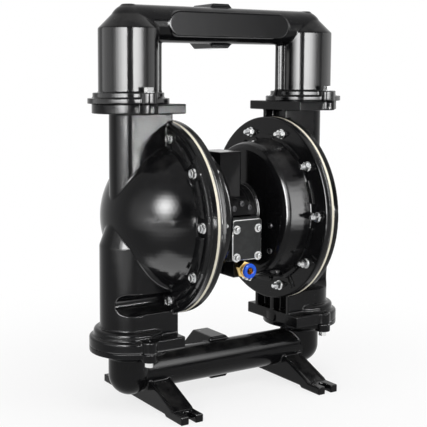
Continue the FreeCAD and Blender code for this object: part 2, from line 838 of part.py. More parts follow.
def check_valves():
    """A seat ring and a ball at each of the four joints, and the O-rings round the seats."""
    rings = []
    groove_low = "seat_thick / 2 - groove_wide / 2"
    groove_high = "seat_thick / 2 + groove_wide / 2"
    for level in ("upper", "lower"):
        base = f"{level}_joint_z - seat_deep"
        seat = turned(level + "_seat_body", [
            ("seat_hole", "0"),
            ("seat_radius", "0"),
            ("seat_radius", groove_low),
            ("seat_radius - groove_deep", groove_low),
            ("seat_radius - groove_deep", groove_high),
            ("seat_radius", groove_high),
            ("seat_radius", "seat_thick"),
            ("seat_hole", "seat_thick"),
        ], axis="V_Axis", spot=("-column_x", "0", base))
        ball = sphere(level + "_ball_body", "ball_radius", ("-column_x", "0", f"{base} + seat_thick + ball_up"))
        ring = primitive("Torus", level + "_ring", ("-column_x", "0", f"{base} + seat_thick / 2"),
                         Radius1="seat_out - ring_radius", Radius2="ring_radius")
        rings += [ring, mirrored(level + "_ring_twin", ring)]
        for item, name in ((seat, "seat"), (ball, "ball")):
            node(item, f"left_{level}_{name}")
            node(mirrored(f"{level}_{name}_twin", item), f"right_{level}_{name}")
    node(compound("ring_set", *rings), "seat_o_rings")


# Manifolds


def joint_holes(name, base, tall):
    """Clearance holes for a manifold's two left-hand joint bolts."""
    return [cylinder(f"{name}_{row}", "bolt_radius + hole_slack", tall, ("-column_x", f"{sign}ear_reach", base))
            for row, sign in FRONT_AND_REAR]


def port(name, pipe_z):
    """The octagonal rear port boss of a manifold, and the tools that bore it."""
    boss = prism(name + "_boss", PORT_SIDES, "port_corner", "port_reach", ("0", "0", pipe_z))
    boss.Placement.Rotation = TURNS["Y"] * FreeCAD.Rotation(FreeCAD.Vector(0, 0, 1), 180 / PORT_SIDES)
    ring = cylinder(name + "_face", "port_ring", "port_ring_long", ("0", "port_reach", pipe_z), "Y")
    way = cylinder(name + "_way", "port_way", "port_reach", ("0", "0", pipe_z), "Y")
    tap = cylinder(name + "_tap", "port_bore", "port_deep",
                   ("0", "port_reach + port_ring_long - port_deep", pipe_z), "Y")
    return [boss, ring], [way, tap]


def discharge_manifold():
    """The upper manifold: two wide elbows, the cross pipe with its front panel, and the port."""
    solids = [
        cylinder("top_flange", "disc_radius", "collar_height", ("-column_x", "0", "upper_joint_z")),
        cylinder("top_brim", "brim_radius", "brim_height", ("-column_x", "0", "upper_joint_z")),
        cylinder("elbow", "elbow_radius", "cone_low_z - upper_joint_z", ("-column_x", "0", "upper_joint_z")),
        cone("elbow_top", "elbow_radius", "elbow_radius - elbow_cone", "elbow_cone",
             ("-column_x", "0", "cone_low_z")),
        sphere("pipe_end", "upper_pipe", ("-column_x", "0", "upper_pipe_z")),
        cylinder("inner_rib", "rib_radius", "upper_pipe_z - upper_joint_z",
                 ("-column_x + rib_out", "0", "upper_joint_z")),
        cone("rib_base", "rib_flare", "rib_radius", "rib_flare_tall",
             ("-column_x + rib_out", "0", "upper_joint_z + collar_height")),
    ]
    for row, sign in FRONT_AND_REAR:
        solids.append(cylinder(f"top_ear_{row}", "ear_radius", "ear_tall",
                               ("-column_x", f"{sign}ear_reach", "upper_joint_z")))
    solids.append(cylinder("cross_pipe", "upper_pipe", "column_x", ("-column_x", "0", "upper_pipe_z"), "X"))
    half = fuse("discharge_half", *solids)
    panel = [box("panel", "2 * panel_half_long", "panel_front", "2 * panel_half_tall",
                 ("-panel_half_long", "-panel_front", "upper_pipe_z - panel_half_tall"))]
    for side, sign in LEFT_AND_RIGHT:
        panel.append(cylinder(f"panel_end_{side}", "panel_half_tall", "panel_front",
                              (f"{sign}panel_half_long", "0", "upper_pipe_z"), "-Y"))
    boss, drills = port("outlet", "upper_pipe_z")
    outer = fuse("discharge_outer", half, mirrored("discharge_twin", half), *panel, *boss)
    room = ball_room("upper_ball", "upper_joint_z + seat_proud", "upper_pipe_z")
    room.append(cylinder("top_seat_room", "seat_out", "seat_proud", ("-column_x", "0", "upper_joint_z")))
    room += joint_holes("top_joint", "upper_joint_z", "ear_tall")
    rooms = fuse("discharge_rooms", *room)
    bore = cylinder("cross_bore", "pipe_bore", "2 * column_x", ("-column_x", "0", "upper_pipe_z"), "X")
    node(cut("discharge", outer, rooms, mirrored("discharge_rooms_twin", rooms), bore, *drills),
         "discharge_manifold")


def foot():
    """One foot bar on the left: forked ends, open floor and two ribs up to the pipe."""
    under = [("-foot_reach", "0"), ("-sole_inner", "0"), ("-sole_inner + sole_rise", "sole_rise"),
             ("sole_inner - sole_rise", "sole_rise"), ("sole_inner", "0"), ("foot_reach", "0")]
    floor = under + [("foot_reach", "fork_tall"), ("fork_flat", "fork_tall"),
                     ("foot_top_half", "foot_top - floor_drop"), ("-foot_top_half", "foot_top - floor_drop"),
                     ("-fork_flat", "fork_tall"), ("-foot_reach", "fork_tall")]
    crest = [("-fork_flat", "sole_rise"), ("fork_flat", "sole_rise"), ("fork_flat", "fork_tall"),
             ("fork_flat - floor_drop", "fork_tall + floor_drop"), ("foot_top_half", "foot_top"),
             ("-foot_top_half", "foot_top"), ("floor_drop - fork_flat", "fork_tall + floor_drop"),
             ("-fork_flat", "fork_tall")]
    solids = [extruded("foot_floor", "YZ_Plane", floor, "2 * foot_half", ("-foot_x", "0", "0"))]
    for side, sign in (("outer", "-"), ("inner", "+")):
        solids.append(extruded(f"foot_rib_{side}", "YZ_Plane", crest, "foot_rib",
                               (f"-foot_x {sign} (foot_half - foot_rib / 2)", "0", "0")))
    tools = []
    for row, sign in FRONT_AND_REAR:
        start = "-foot_reach - cut_over" if sign else "slot_centre"
        tools.append(box(f"slot_{row}", "2 * slot_half", "foot_reach - slot_centre + cut_over", "fork_tall",
                         ("-foot_x - slot_half", start, "0")))
        tools.append(cylinder(f"slot_end_{row}", "slot_half", "fork_tall",
                              ("-foot_x", f"{sign}slot_centre", "0")))
    return cut("foot_bar", fuse("foot_outer", *solids), *tools)


def suction_manifold():
    """The lower manifold on its two feet: narrow elbows under saucer flanges, cross pipe and port."""
    saucer_z = "lower_joint_z - saucer_thick"
    solids = [
        cylinder("saucer", "disc_radius", "saucer_thick", ("-column_x", "0", saucer_z)),
        cone("saucer_under", "saucer_neck", "disc_radius", "saucer_taper",
             ("-column_x", "0", saucer_z + " - saucer_taper")),
        cone("neck", "low_elbow", "saucer_neck", "neck_taper",
             ("-column_x", "0", saucer_z + " - saucer_taper - neck_taper")),
        cylinder("low_elbow_run", "low_elbow", "lower_joint_z - lower_pipe_z", ("-column_x", "0", "lower_pipe_z")),
        sphere("low_elbow_end", "low_elbow", ("-column_x", "0", "lower_pipe_z")),
        foot(),
    ]
    for row, sign in FRONT_AND_REAR:
        solids.append(cylinder(f"low_ear_{row}", "ear_radius", "low_ear_tall",
                               ("-column_x", f"{sign}ear_reach", "low_ear_z")))
    half = fuse("suction_half", *solids)
    pipe = cylinder("low_pipe_run", "lower_pipe", "2 * column_x", ("-column_x", "0", "lower_pipe_z"), "X")
    boss, drills = port("inlet", "lower_pipe_z")
    outer = fuse("suction_outer", half, mirrored("suction_twin", half), pipe, *boss)
    room = [
        cylinder("low_seat_room", "seat_out", "seat_deep", ("-column_x", "0", "lower_joint_z - seat_deep")),
        cylinder("low_rise", "seat_hole", "lower_joint_z - lower_pipe_z", ("-column_x", "0", "lower_pipe_z")),
        sphere("low_turn", "pipe_bore", ("-column_x", "0", "lower_pipe_z")),
    ]
    room += joint_holes("low_joint", "low_ear_z", "low_ear_tall")
    rooms = fuse("suction_rooms", *room)
    bore = cylinder("low_bore", "pipe_bore", "2 * column_x", ("-column_x", "0", "lower_pipe_z"), "X")
    node(cut("suction", outer, rooms, mirrored("suction_rooms_twin", rooms), bore, *drills),
         "suction_manifold")


# Air valve, muffler and inlet fitting


def valve_holes(name, front, long):
    """Four clearance holes for the valve screws, from a front face toward the back."""
    holes = []
    for side, sign in LEFT_AND_RIGHT:
        for row, drop in (("high", "screw_high"), ("low", "screw_low")):
            holes.append(cylinder(f"{name}_{side}_{row}", "screw_radius + hole_slack", long,
                                  (f"{sign}screw_x", f"-{front}", f"axis_z - {drop}"), "Y"))
    return holes


def air_ports(name, front, long):
    """The three air ports on the spool's level, from a front distance toward the back."""
    return [cylinder(f"{name}_{index}", "air_way", long, (x, f"-{front}", "spool_z"), "Y")
            for index, x in enumerate(("-air_way_x", "0", "air_way_x"))]


def air_valve():
    """The valve block with its gasket, cover, spool and end plugs."""
    base = "axis_z - valve_low"
    wide = "2 * valve_half"
    block = box("valve_block", wide, "valve_deep", "valve_tall", ("-valve_half", "-cover_back", base))
    spool_way = cylinder("spool_way", "spool_radius + fit_slack", wide, ("-valve_half", "-spool_y", "spool_z"), "X")
    node(cut("valve_cut", block, spool_way, *air_ports("block_port", "spool_y", "spool_y - valve_back"),
             *valve_holes("block_hole", "cover_back", "valve_deep")), "valve_body")
    sheet_box = box("gasket_sheet", wide, "valve_gasket", "valve_tall", ("-valve_half", "-valve_back", base))
    node(cut("valve_sheet", sheet_box, *air_ports("sheet_port", "valve_back", "valve_gasket"),
             *valve_holes("sheet_hole", "valve_back", "valve_gasket")), "valve_gasket")
    plate = box("cover_sheet", "2 * (valve_half - cover_inset)", "cover_thick", "valve_tall - 2 * cover_inset",
                ("cover_inset - valve_half", "-valve_front", base + " + cover_inset"))
    node(cut("valve_lid", plate, *valve_holes("lid_hole", "valve_front", "cover_thick")), "valve_cover")
    land = "spool_half - spool_land"
    node(turned("spool_body", [
        ("-spool_half", "0"), ("-spool_half", "spool_radius"), (f"-({land})", "spool_radius"),
        (f"-({land})", "spool_waist"), ("-spool_land", "spool_waist"), ("-spool_land", "spool_radius"),
        ("spool_land", "spool_radius"), ("spool_land", "spool_waist"), (land, "spool_waist"),
        (land, "spool_radius"), ("spool_half", "spool_radius"), ("spool_half", "0"),
    ], spot=("0", "-spool_y", "spool_z")), "valve_spool")
    plug = cylinder("plug", "spool_radius + fit_slack - press_slack", "plug_long",
                    ("-valve_half", "-spool_y", "spool_z"), "X")
    node(compound("plug_pair", plug, mirrored("plug_twin", plug)), "valve_plugs")


def muffler():
    """The exhaust muffler: a threaded stub and a ribbed can on the rear boss."""
    waist = "muffler_radius - muffler_groove"
    end = "exhaust_reach + muffler_long"
    profile = [("0", "exhaust_reach - thread_long"), ("thread_radius", "exhaust_reach - thread_long"),
               ("thread_radius", "exhaust_reach"), ("muffler_radius", "exhaust_reach")]
    for index in range(MUFFLER_RIBS):
        low = f"exhaust_reach + muffler_long * {5 * index + 2} / {5 * MUFFLER_RIBS}"
        high = f"exhaust_reach + muffler_long * {5 * index + 4} / {5 * MUFFLER_RIBS}"
        profile += [("muffler_radius", low), (waist, low), (waist, high), ("muffler_radius", high)]
    profile += [("muffler_radius", end), ("exhaust_bore", end),
                ("exhaust_bore", end + " - thread_long"), ("0", end + " - thread_long")]
    can = turned("muffler_body", profile, axis="V_Axis", spot=("0", "0", "axis_z"))
    can.Placement.Rotation = TURNS["Y"]
    node(can, "muffler")


def air_inlet():
    """The push-in fitting under the valve, and its release collar."""
    nose_spot = ("0", "-nose_front", "inlet_z")
    flange_spot = ("0", "-nose_front - collet_gap", "inlet_z")
    hexagonal = prism("inlet_hexagon", 6, "inlet_across / 2 / cos(30)", "inlet_hex",
                      ("0", "-lug_front", "inlet_z"), "-Y")
    nose = cylinder("inlet_nose_run", "inlet_nose", "inlet_nose_long", ("0", "-hex_front", "inlet_z"), "-Y")
    stub = cylinder("inlet_stub", "inlet_thread", "inlet_thread_long", ("0", "-lug_front", "inlet_z"), "Y")
    socket = cylinder("inlet_socket", "collet_neck + fit_slack", "collet_long + collet_travel", nose_spot, "Y")
    way = cylinder("inlet_way_run", "inlet_way", "inlet_hex + inlet_nose_long + inlet_thread_long", nose_spot, "Y")
    node(cut("fitting", fuse("fitting_outer", hexagonal, nose, stub), socket, way), "air_inlet_fitting")
    flange = cylinder("collet_face", "collet_flange", "collet_flange_thick", flange_spot, "-Y")
    neck = cylinder("collet_run", "collet_neck", "collet_long + collet_gap - fit_slack", flange_spot, "Y")
    tube = cylinder("tube_way", "tube_radius", "collet_flange_thick + collet_gap + collet_long",
                    ("0", "-nose_front - collet_gap - collet_flange_thick", "inlet_z"), "Y")
    node(cut("collet", fuse("collet_outer", flange, neck), tube), "release_collar")


# Fasteners


def hexagon(across, tall):
    """A hexagonal prism standing on the XY plane."""
    corner = FreeCAD.Vector(number(across) / 3 ** 0.5, 0, 0)
    turns = [FreeCAD.Rotation(FreeCAD.Vector(0, 0, 1), 60 * index) for index in range(7)]
    face = Part.Face(Part.makePolygon([turn.multVec(corner) for turn in turns]))
    return face.extrude(FreeCAD.Vector(0, 0, number(tall)))


def screw(shank, radius, head):
    """A screw whose head shape stands on the XY plane, with its shank below."""
    stem = Part.makeCylinder(number(radius), number(shank))
    stem.translate(FreeCAD.Vector(0, 0, -number(shank)))
    return stem.fuse(head).removeSplitter()


def hex_bolt(shank, tall):
    """A flanged hex bolt."""
    collar = Part.makeCylinder(number("collar_radius"), number("collar_tall"))
    return screw(shank, "bolt_radius", collar.fuse(hexagon("head_across", tall)))


def hex_nut():
    """A hex nut on its washer, bored to take the bolt."""
    bore = Part.makeCylinder(number("bolt_radius + thread_slack"), number("nut_tall"))
    washer = Part.makeCylinder(number("washer_radius"), number("washer_thick"))
    return hexagon("head_across", "nut_tall").fuse(washer).cut(bore).removeSplitter()


def round_head(radius, tall):
    return Part.makeCylinder(number(radius), number(tall))


def group(label, shape, spots, along):
    """One node of separate copies of a fastener, each set at a spot and turned along an axis."""
    copies = []
    for spot in spots:
        copy = shape.copy()
        base = FreeCAD.Vector(*[number(formula) for formula in spot])
        copy.Placement = FreeCAD.Placement(base, TURNS[along])
        copies.append(copy)
    feature = doc.addObject("Part::Feature", label + "_set")
    feature.Shape = Part.makeCompound(copies)
    return node(feature, label)


def ring_spots(x, angles, ring):
    return [(x,) + around_axis(angle, "0", ring) for angle in angles]


def fasteners():
    """Every group of screws, bolts and nuts."""
    bolt = hex_bolt("spot_x - nut_x + nut_tall + stud_over", "head_tall")
    left = group("left_chamber_bolts", bolt, ring_spots("-spot_x", bolt_angles(), "bolt_ring"), "-X")
    node(mirrored("right_bolt_set", left), "right_chamber_bolts")
    left = group("left_chamber_nuts", hex_nut(), ring_spots("-nut_x", bolt_angles(), "bolt_ring"), "X")
    node(mirrored("right_nut_set", left), "right_chamber_nuts")

    ears = [(f"{side}column_x", f"{row}ear_reach") for side in ("-", "") for row in ("-", "")]
    bolt = hex_bolt("ear_tall + upper_plate - cut_over", "joint_head")
    group("discharge_bolts", bolt, [ear + ("ear_top_z",) for ear in ears], "Z")
    bolt = hex_bolt("low_ear_tall + lower_plate - cut_over", "joint_head")
    group("suction_bolts", bolt, [ear + ("low_ear_z",) for ear in ears], "-Z")

    head = round_head("screw_head", "screw_head_tall").fuse(round_head("screw_collar", "screw_collar_tall"))
    long = screw("valve_front - pad_front + screw_bite - stop_slack", "screw_radius", head)
    spots = [(f"{side}screw_x", "-valve_front", f"axis_z - {drop}")
             for side in ("-", "") for drop in ("screw_high", "screw_low")]
    group("valve_screws", long, spots, "-Y")

    head = round_head("small_head", "small_head_tall")
    small = screw("pilot_cover + small_bite - stop_slack", "small_screw", head)
    spots = [(x, "-boss_front - pilot_cover", z) for x, z in cover_screw_spots()]
    group("pilot_cover_screws", small, spots, "-Y")
    small = screw("small_bite - stop_slack", "small_screw", head)
    spots = [("-face_x", "-face_screw_y", f"axis_z - {drop}") for drop in ("face_screw_high", "face_screw_low")]
    left = group("left_face_screws", small, spots, "X")
    node(mirrored("right_face_set", left), "right_face_screws")

    head = round_head("core_head", "core_head_tall")
    core = screw("cavity_x - core_x + core_depth - stop_slack", "core_screw", head)
    left = group("left_core_screws", core, ring_spots("-cavity_x", core_angles(), "core_ring"), "-X")
    node(mirrored("right_core_set", left), "right_core_screws")


fluid_cap()
air_cap()
centre_body()
pilot_cover()
centre_gaskets()
diaphragms()
clamp_plates()
rod_and_bushes()
check_valves()
discharge_manifold()
suction_manifold()
air_valve()
muffler()
air_inlet()
fasteners()
sheet.clear(WORK_CELL)
doc.recompute()

for item in doc.Objects:
    if "Invalid" in item.State or "Error" in item.State:
        raise RuntimeError(f"{item.Name} did not build: {item.State}")

os.makedirs("parts", exist_ok=True)
for item in nodes:
    if item.Shape.isNull() or not item.Shape.isValid():
        raise RuntimeError(f"{item.Label} has no valid shape")
    item.Shape.exportStep(f"parts/{item.Label}.step")
    print(item.Label, len(item.Shape.Solids), round(item.Shape.Volume / 1000, 1))
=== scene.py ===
"""An air-operated double diaphragm pump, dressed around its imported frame.

Castings are rounded copies of the frame's own. Fasteners, the air fitting, the valve cover, the
muffler and the port threads are modelled here. Lengths are metres, in the frame's own axes.
"""

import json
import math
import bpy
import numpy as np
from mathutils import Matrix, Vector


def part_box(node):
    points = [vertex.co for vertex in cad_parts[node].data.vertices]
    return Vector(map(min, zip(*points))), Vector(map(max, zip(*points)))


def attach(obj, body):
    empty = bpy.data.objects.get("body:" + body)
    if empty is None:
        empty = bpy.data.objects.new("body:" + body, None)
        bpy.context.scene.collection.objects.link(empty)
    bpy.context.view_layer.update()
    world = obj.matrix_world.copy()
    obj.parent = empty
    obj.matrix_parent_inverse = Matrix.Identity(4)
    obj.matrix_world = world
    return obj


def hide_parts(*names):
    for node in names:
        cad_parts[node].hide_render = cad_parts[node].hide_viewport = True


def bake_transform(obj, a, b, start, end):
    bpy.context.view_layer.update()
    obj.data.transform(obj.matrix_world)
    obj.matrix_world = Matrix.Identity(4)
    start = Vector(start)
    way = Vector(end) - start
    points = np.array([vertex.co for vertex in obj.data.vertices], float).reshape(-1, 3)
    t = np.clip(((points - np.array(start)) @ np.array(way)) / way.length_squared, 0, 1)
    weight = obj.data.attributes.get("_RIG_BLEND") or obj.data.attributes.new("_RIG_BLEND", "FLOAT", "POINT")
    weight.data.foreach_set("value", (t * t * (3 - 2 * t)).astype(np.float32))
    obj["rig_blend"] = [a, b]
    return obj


bl_info = {
    "name": "Double diaphragm pump",
    "version": (1, 0, 0),
    "blender": (4, 5, 0),
    "location": "View3D > Sidebar > Pump",
    "description": "Models and finishes a double diaphragm pump around its frame",
    "category": "Object",
}

import bmesh
import bpy
from bpy.props import FloatProperty, FloatVectorProperty, IntProperty, PointerProperty
from mathutils import Matrix, Quaternion, Vector

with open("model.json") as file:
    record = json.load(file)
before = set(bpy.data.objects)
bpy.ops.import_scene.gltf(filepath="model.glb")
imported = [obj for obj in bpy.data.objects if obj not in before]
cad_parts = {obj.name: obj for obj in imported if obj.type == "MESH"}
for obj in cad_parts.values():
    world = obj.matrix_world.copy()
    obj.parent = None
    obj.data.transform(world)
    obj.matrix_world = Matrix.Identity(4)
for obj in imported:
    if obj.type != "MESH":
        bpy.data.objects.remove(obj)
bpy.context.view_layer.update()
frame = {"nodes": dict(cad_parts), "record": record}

MM = 0.001
UP = Vector((0, 0, 1))
FORWARD = Vector((0, -1, 0))
BACKWARD = Vector((0, 1, 0))
WHITE = (1, 1, 1, 1)
MERGE = 0.000001
HOUSING = "housing"
SIDES = ("left", "right")
SHANK_SIDES = 24
SMALL_SIDES = 32
SCREW_SIDES = 40
ROUND_SIDES = 64
CHAMBER_BOLTS = 10
CAST_ANGLE = 40
FLANGE_HEAD = 6.5 * MM
JOINT_HEAD = 9 * MM
COLLAR_RADIUS = 8.7 * MM
AXIS_Z = sum(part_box("diaphragm_rod"), Vector()).z / 2
# takes a piece built round Z to the diaphragms' axis, which runs along X
ALONG_AXIS = Matrix.Translation((0, 0, AXIS_Z)) @ Matrix(((0, 0, 1), (1, 0, 0), (0, 1, 0))).to_4x4()


# Places read from the frame

def islands(node):
    """The lowest and highest corner of each separate solid of a CAD node."""
    net = bmesh.new()
    net.from_mesh(frame["nodes"][node].data)
    bmesh.ops.remove_doubles(net, verts=net.verts, dist=MERGE)
    left, boxes = set(net.verts), []
    while left:
        front, found = [left.pop()], []
        while front:
            vert = front.pop()
            found.append(vert.co.copy())
            for edge in vert.link_edges:
                other = edge.other_vert(vert)
                if other in left:
                    left.remove(other)
                    front.append(other)
        low = Vector([min(co[axis] for co in found) for axis in range(3)])
        high = Vector([max(co[axis] for co in found) for axis in range(3)])
        boxes.append((low, high))
    net.free()
    return sorted(boxes, key=lambda pair: tuple(round(value, 4) for value in pair[0] + pair[1]))


# Modelling helpers

def clear_selection():
    if bpy.context.object and bpy.context.object.mode != "OBJECT":
        bpy.ops.object.mode_set(mode="OBJECT")
    bpy.ops.object.select_all(action="DESELECT")


def pick(piece):
    clear_selection()
    piece.select_set(True)
    bpy.context.view_layer.objects.active = piece
    return piece


def start_edit(piece):
    pick(piece)
    bpy.ops.object.mode_set(mode="EDIT")
    bpy.ops.mesh.select_all(action="SELECT")


def end_edit():
    bpy.ops.object.mode_set(mode="OBJECT")


def settle(piece):
    """Put the object at the origin, with its place in its mesh."""
    pick(piece)
    bpy.ops.object.transform_apply(location=True, rotation=True, scale=True)
    return piece


def apply_modifier(piece, kind, **settings):
    pick(piece)
    modifier = piece.modifiers.new(kind.lower(), kind)
    for key, value in settings.items():
        setattr(modifier, key, value)
    bpy.ops.object.modifier_apply(modifier=modifier.name)
    return piece


def face_outwards(piece):
    start_edit(piece)
    bpy.ops.mesh.remove_doubles(threshold=MERGE)
    bpy.ops.mesh.normals_make_consistent(inside=False)
    end_edit()
    return piece


def smooth(piece, angle=30):
    pick(piece)
    bpy.ops.object.shade_smooth_by_angle(angle=math.radians(angle))
    return piece


def new_piece(name, mesh):
    piece = bpy.data.objects.new(name, mesh)
    bpy.context.scene.collection.objects.link(piece)
    return piece


def copy_of(node, name):
    """A CAD node's mesh as a new piece, with its loose triangles merged."""
    piece = new_piece(name, frame["nodes"][node].data.copy())
    start_edit(piece)
    bpy.ops.mesh.remove_doubles(threshold=MERGE)
    end_edit()
    return piece


def soften(piece, grid, passes):
    """Round every edge on a fine grid, as a mould leaves them."""
    apply_modifier(piece, "REMESH", mode="VOXEL", voxel_size=grid)
    if passes:
        apply_modifier(piece, "SMOOTH", factor=0.5, iterations=passes)
    return piece


def mirrored(piece, name):
    """The piece's twin on the other side of the pump's middle."""
    twin = new_piece(name, piece.data.copy())
    twin.data.transform(Matrix.Scale(-1, 4, Vector((1, 0, 0))))
    twin.data.flip_normals()
    return twin


def boolean(piece, tool, operation):
    apply_modifier(piece, "BOOLEAN", object=tool, operation=operation, solver="EXACT")
    bpy.data.objects.remove(tool)
    return piece


def joined(name, pieces):
    clear_selection()
    for piece in pieces:
        piece.select_set(True)
    bpy.context.view_layer.objects.active = pieces[0]
    if len(pieces) > 1:
        bpy.ops.object.join()
    pieces[0].name = name
    return pieces[0]


def turned(name, rings, sides=ROUND_SIDES):
    """A closed solid turned round Z: a disc extruded and resized from ring to ring."""
    clear_selection()
    radius, height = rings[0]
    bpy.ops.mesh.primitive_circle_add(vertices=sides, radius=radius, fill_type="NGON",
                                      location=(0, 0, height))
    piece = bpy.context.object
    piece.name = name
    bpy.ops.object.mode_set(mode="EDIT")
    bpy.ops.mesh.select_all(action="SELECT")
    for next_radius, next_height in rings[1:]:
        rise = {"value": (0, 0, next_height - height)}
        bpy.ops.mesh.extrude_region_move(TRANSFORM_OT_translate=rise)
        spread = next_radius / radius
        bpy.ops.transform.resize(value=(spread, spread, 1))
        radius, height = next_radius, next_height
    bpy.ops.mesh.select_all(action="SELECT")
    bpy.ops.mesh.normals_make_consistent(inside=False)
    end_edit()
    return settle(piece)


def block(name, low, high, edge=0.0):
    """A box between two corners, with its edges rounded where an edge is given."""
    clear_selection()
    low, high = Vector(low), Vector(high)
    bpy.ops.mesh.primitive_cube_add(size=1, location=(low + high) / 2)
    piece = bpy.context.object
    piece.name = name
    piece.scale = high - low
    settle(piece)
    if edge:
        start_edit(piece)
        bpy.ops.mesh.bevel(offset=edge, segments=2, profile=0.5)
        end_edit()
    return piece


def prism(name, sides, corner, low, high, turn=0.0):
    clear_selection()
    bpy.ops.mesh.primitive_cylinder_add(vertices=sides, radius=corner, depth=high - low,
                                        location=(0, 0, (low + high) / 2), rotation=(0, 0, turn))
    piece = bpy.context.object
    piece.name = name
    return settle(piece)


def chamfered_hexagon(name, across, low, high, both_ends=False):
    """A hexagon whose corners are turned off at 30 degrees, as on a real bolt head."""
    corner = across / math.sqrt(3)
    flat, clear = across * 0.475, corner * 1.02
    drop = (corner - flat) * math.tan(math.radians(30))
    rings = [(clear, low), (clear, high - drop), (flat, high)]
    if both_ends:
        rings = [(flat, low), (clear, low + drop)] + rings[1:]
    return boolean(prism(name, 6, corner, low, high), turned("chamfer", rings), "INTERSECT")


def placing(spot, direction, roll=0.0):
    """The matrix that takes a piece built along Z to a spot and a direction."""
    turn = UP.rotation_difference(direction) @ Quaternion(UP, roll)
    return Matrix.Translation(spot) @ turn.to_matrix().to_4x4()


def set_out(pattern, name, places):
    """A copy of a pattern at each place, each with its own mesh, as one piece."""
    copies = []
    for index, place in enumerate(places):
        copy = new_piece(f"{name}_{index}", pattern.data.copy())
        copy.data.transform(place)
        copies.append(copy)
    bpy.data.objects.remove(pattern)
    return joined(name, copies)


def coat(piece, material, *more):
    piece.data.materials.clear()
    for item in (material,) + more:
        piece.data.materials.append(item)
    return piece


def fit(piece, material, slot, *nodes, body=HOUSING):
    """Give a finished piece its material and its body, and hide the CAD nodes that it stands for."""
    if material:
        coat(piece, material)
    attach(piece, body)
    if nodes:
        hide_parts(*nodes)
    return piece


# Fasteners, each built along Z with its seat at Z = 0

def threaded_rings(radius, pitch, low, high):
    """Rings of a thread's crests and roots between two heights, from the top down."""
    root = radius - 0.55 * pitch
    rings, height = [], high
    while height - pitch > low:
        rings += [(root, height), (radius, height - 0.4 * pitch), (radius, height - 0.6 * pitch)]
        height -= pitch
    return rings + [(root, height)]


def washer(radius, thick):
    return turned("washer", [(radius - 0.25 * MM, 0), (radius, 0.25 * MM), (radius, thick - 0.3 * MM),
                             (radius - 0.3 * MM, thick)], SMALL_SIDES)


def flange_bolt(sizes, tall, shank_long):
    """A hex bolt with a flange under its dished head and a thread at the end of its shank."""
    half_across = sizes.head_across / 2
    thread_long, tip = 16 * MM, 0.8 * MM
    head = chamfered_hexagon("bolt", sizes.head_across, 0.5 * MM, tall)
    flange = turned("flange", [(COLLAR_RADIUS - 0.5 * MM, 0), (COLLAR_RADIUS, 0.35 * MM),
                               (COLLAR_RADIUS, 1 * MM), (half_across + 0.8 * MM, 1.9 * MM),
                               (half_across - 1 * MM, 2.2 * MM)], SMALL_SIDES)
    boolean(head, flange, "UNION")
    dish = turned("dish", [(half_across * 0.55, tall - 0.4 * MM), (half_across * 0.75, tall + 0.2 * MM)],
                  SMALL_SIDES)
    boolean(head, dish, "DIFFERENCE")
    thread_top, thread_end = -shank_long + thread_long, -shank_long + tip
    rings = [(sizes.shank, 0.8 * MM), (sizes.shank, thread_top)]
    rings += threaded_rings(sizes.shank, sizes.pitch, thread_end, thread_top)
    rings += [(sizes.shank - 1.1 * MM, -shank_long)]
    return joined("bolt", [head, turned("shank", rings, SHANK_SIDES)])


def hex_nut(sizes, tall):
    """A hex nut on its washer, with its bore widened at the top."""
    nut = chamfered_hexagon("nut", sizes.head_across, 1.2 * MM, tall, both_ends=True)
    boolean(nut, washer(COLLAR_RADIUS, 1.6 * MM), "UNION")
    bore = sizes.shank + 0.05 * MM
    hole = turned("hole", [(bore, -1 * MM), (bore, tall - 0.6 * MM), (bore + 0.8 * MM, tall + 0.2 * MM)],
                  SMALL_SIDES)
    return boolean(nut, hole, "DIFFERENCE")


def socket_screw(head_radius, head_tall, shank_radius, shank_long, socket, collar):
    """A round-headed screw with a hex socket, and a washer where it has one."""
    edge = head_tall * 0.28
    head = turned("screw", [(head_radius - 0.3 * MM, 0), (head_radius, 0.3 * MM),
                            (head_radius, head_tall - edge),
                            (head_radius - edge * 0.35, head_tall - edge * 0.35),
                            (head_radius - edge * 1.2, head_tall)], SCREW_SIDES)
    boolean(head, prism("socket", 6, socket, head_tall * 0.45, head_tall + 1 * MM, 0.3), "DIFFERENCE")
    if collar:
        boolean(head, washer(collar, 1.5 * MM), "UNION")
    shank = turned("shank", [(shank_radius, head_tall * 0.2), (shank_radius, -shank_long + 0.6 * MM),
                             (shank_radius - 0.6 * MM, -shank_long)], SHANK_SIDES)
    return joined("screw", [head, shank])


def seats(node, direction, roll_step, tall=None, first_roll=0.0):
    """Where a node's fasteners sit, each with a roll of its own, and how long each solid is.

    A fastener stands tall over its seat, or all of its length where no height is given.
    """
    direction = Vector(direction)
    places = []
    for index, (low, high) in enumerate(islands(node)):
        middle, half = (low + high) / 2, (high - low) / 2
        reach = abs(half.dot(direction))
        above = 2 * reach if tall is None else tall
        seat = middle + direction * (reach - above)
        places.append(placing(seat, direction, first_roll + index * roll_step))
    return places, 2 * reach


def fasten(node, pattern, places, finish="bright_zinc"):
    """Set a fastener out on the seats of the node that it replaces."""
    fasteners = set_out(pattern, f"{node[:-1]}_set", places)
    fit(smooth(fasteners), stock(finish), "fastener", node)


# Materials

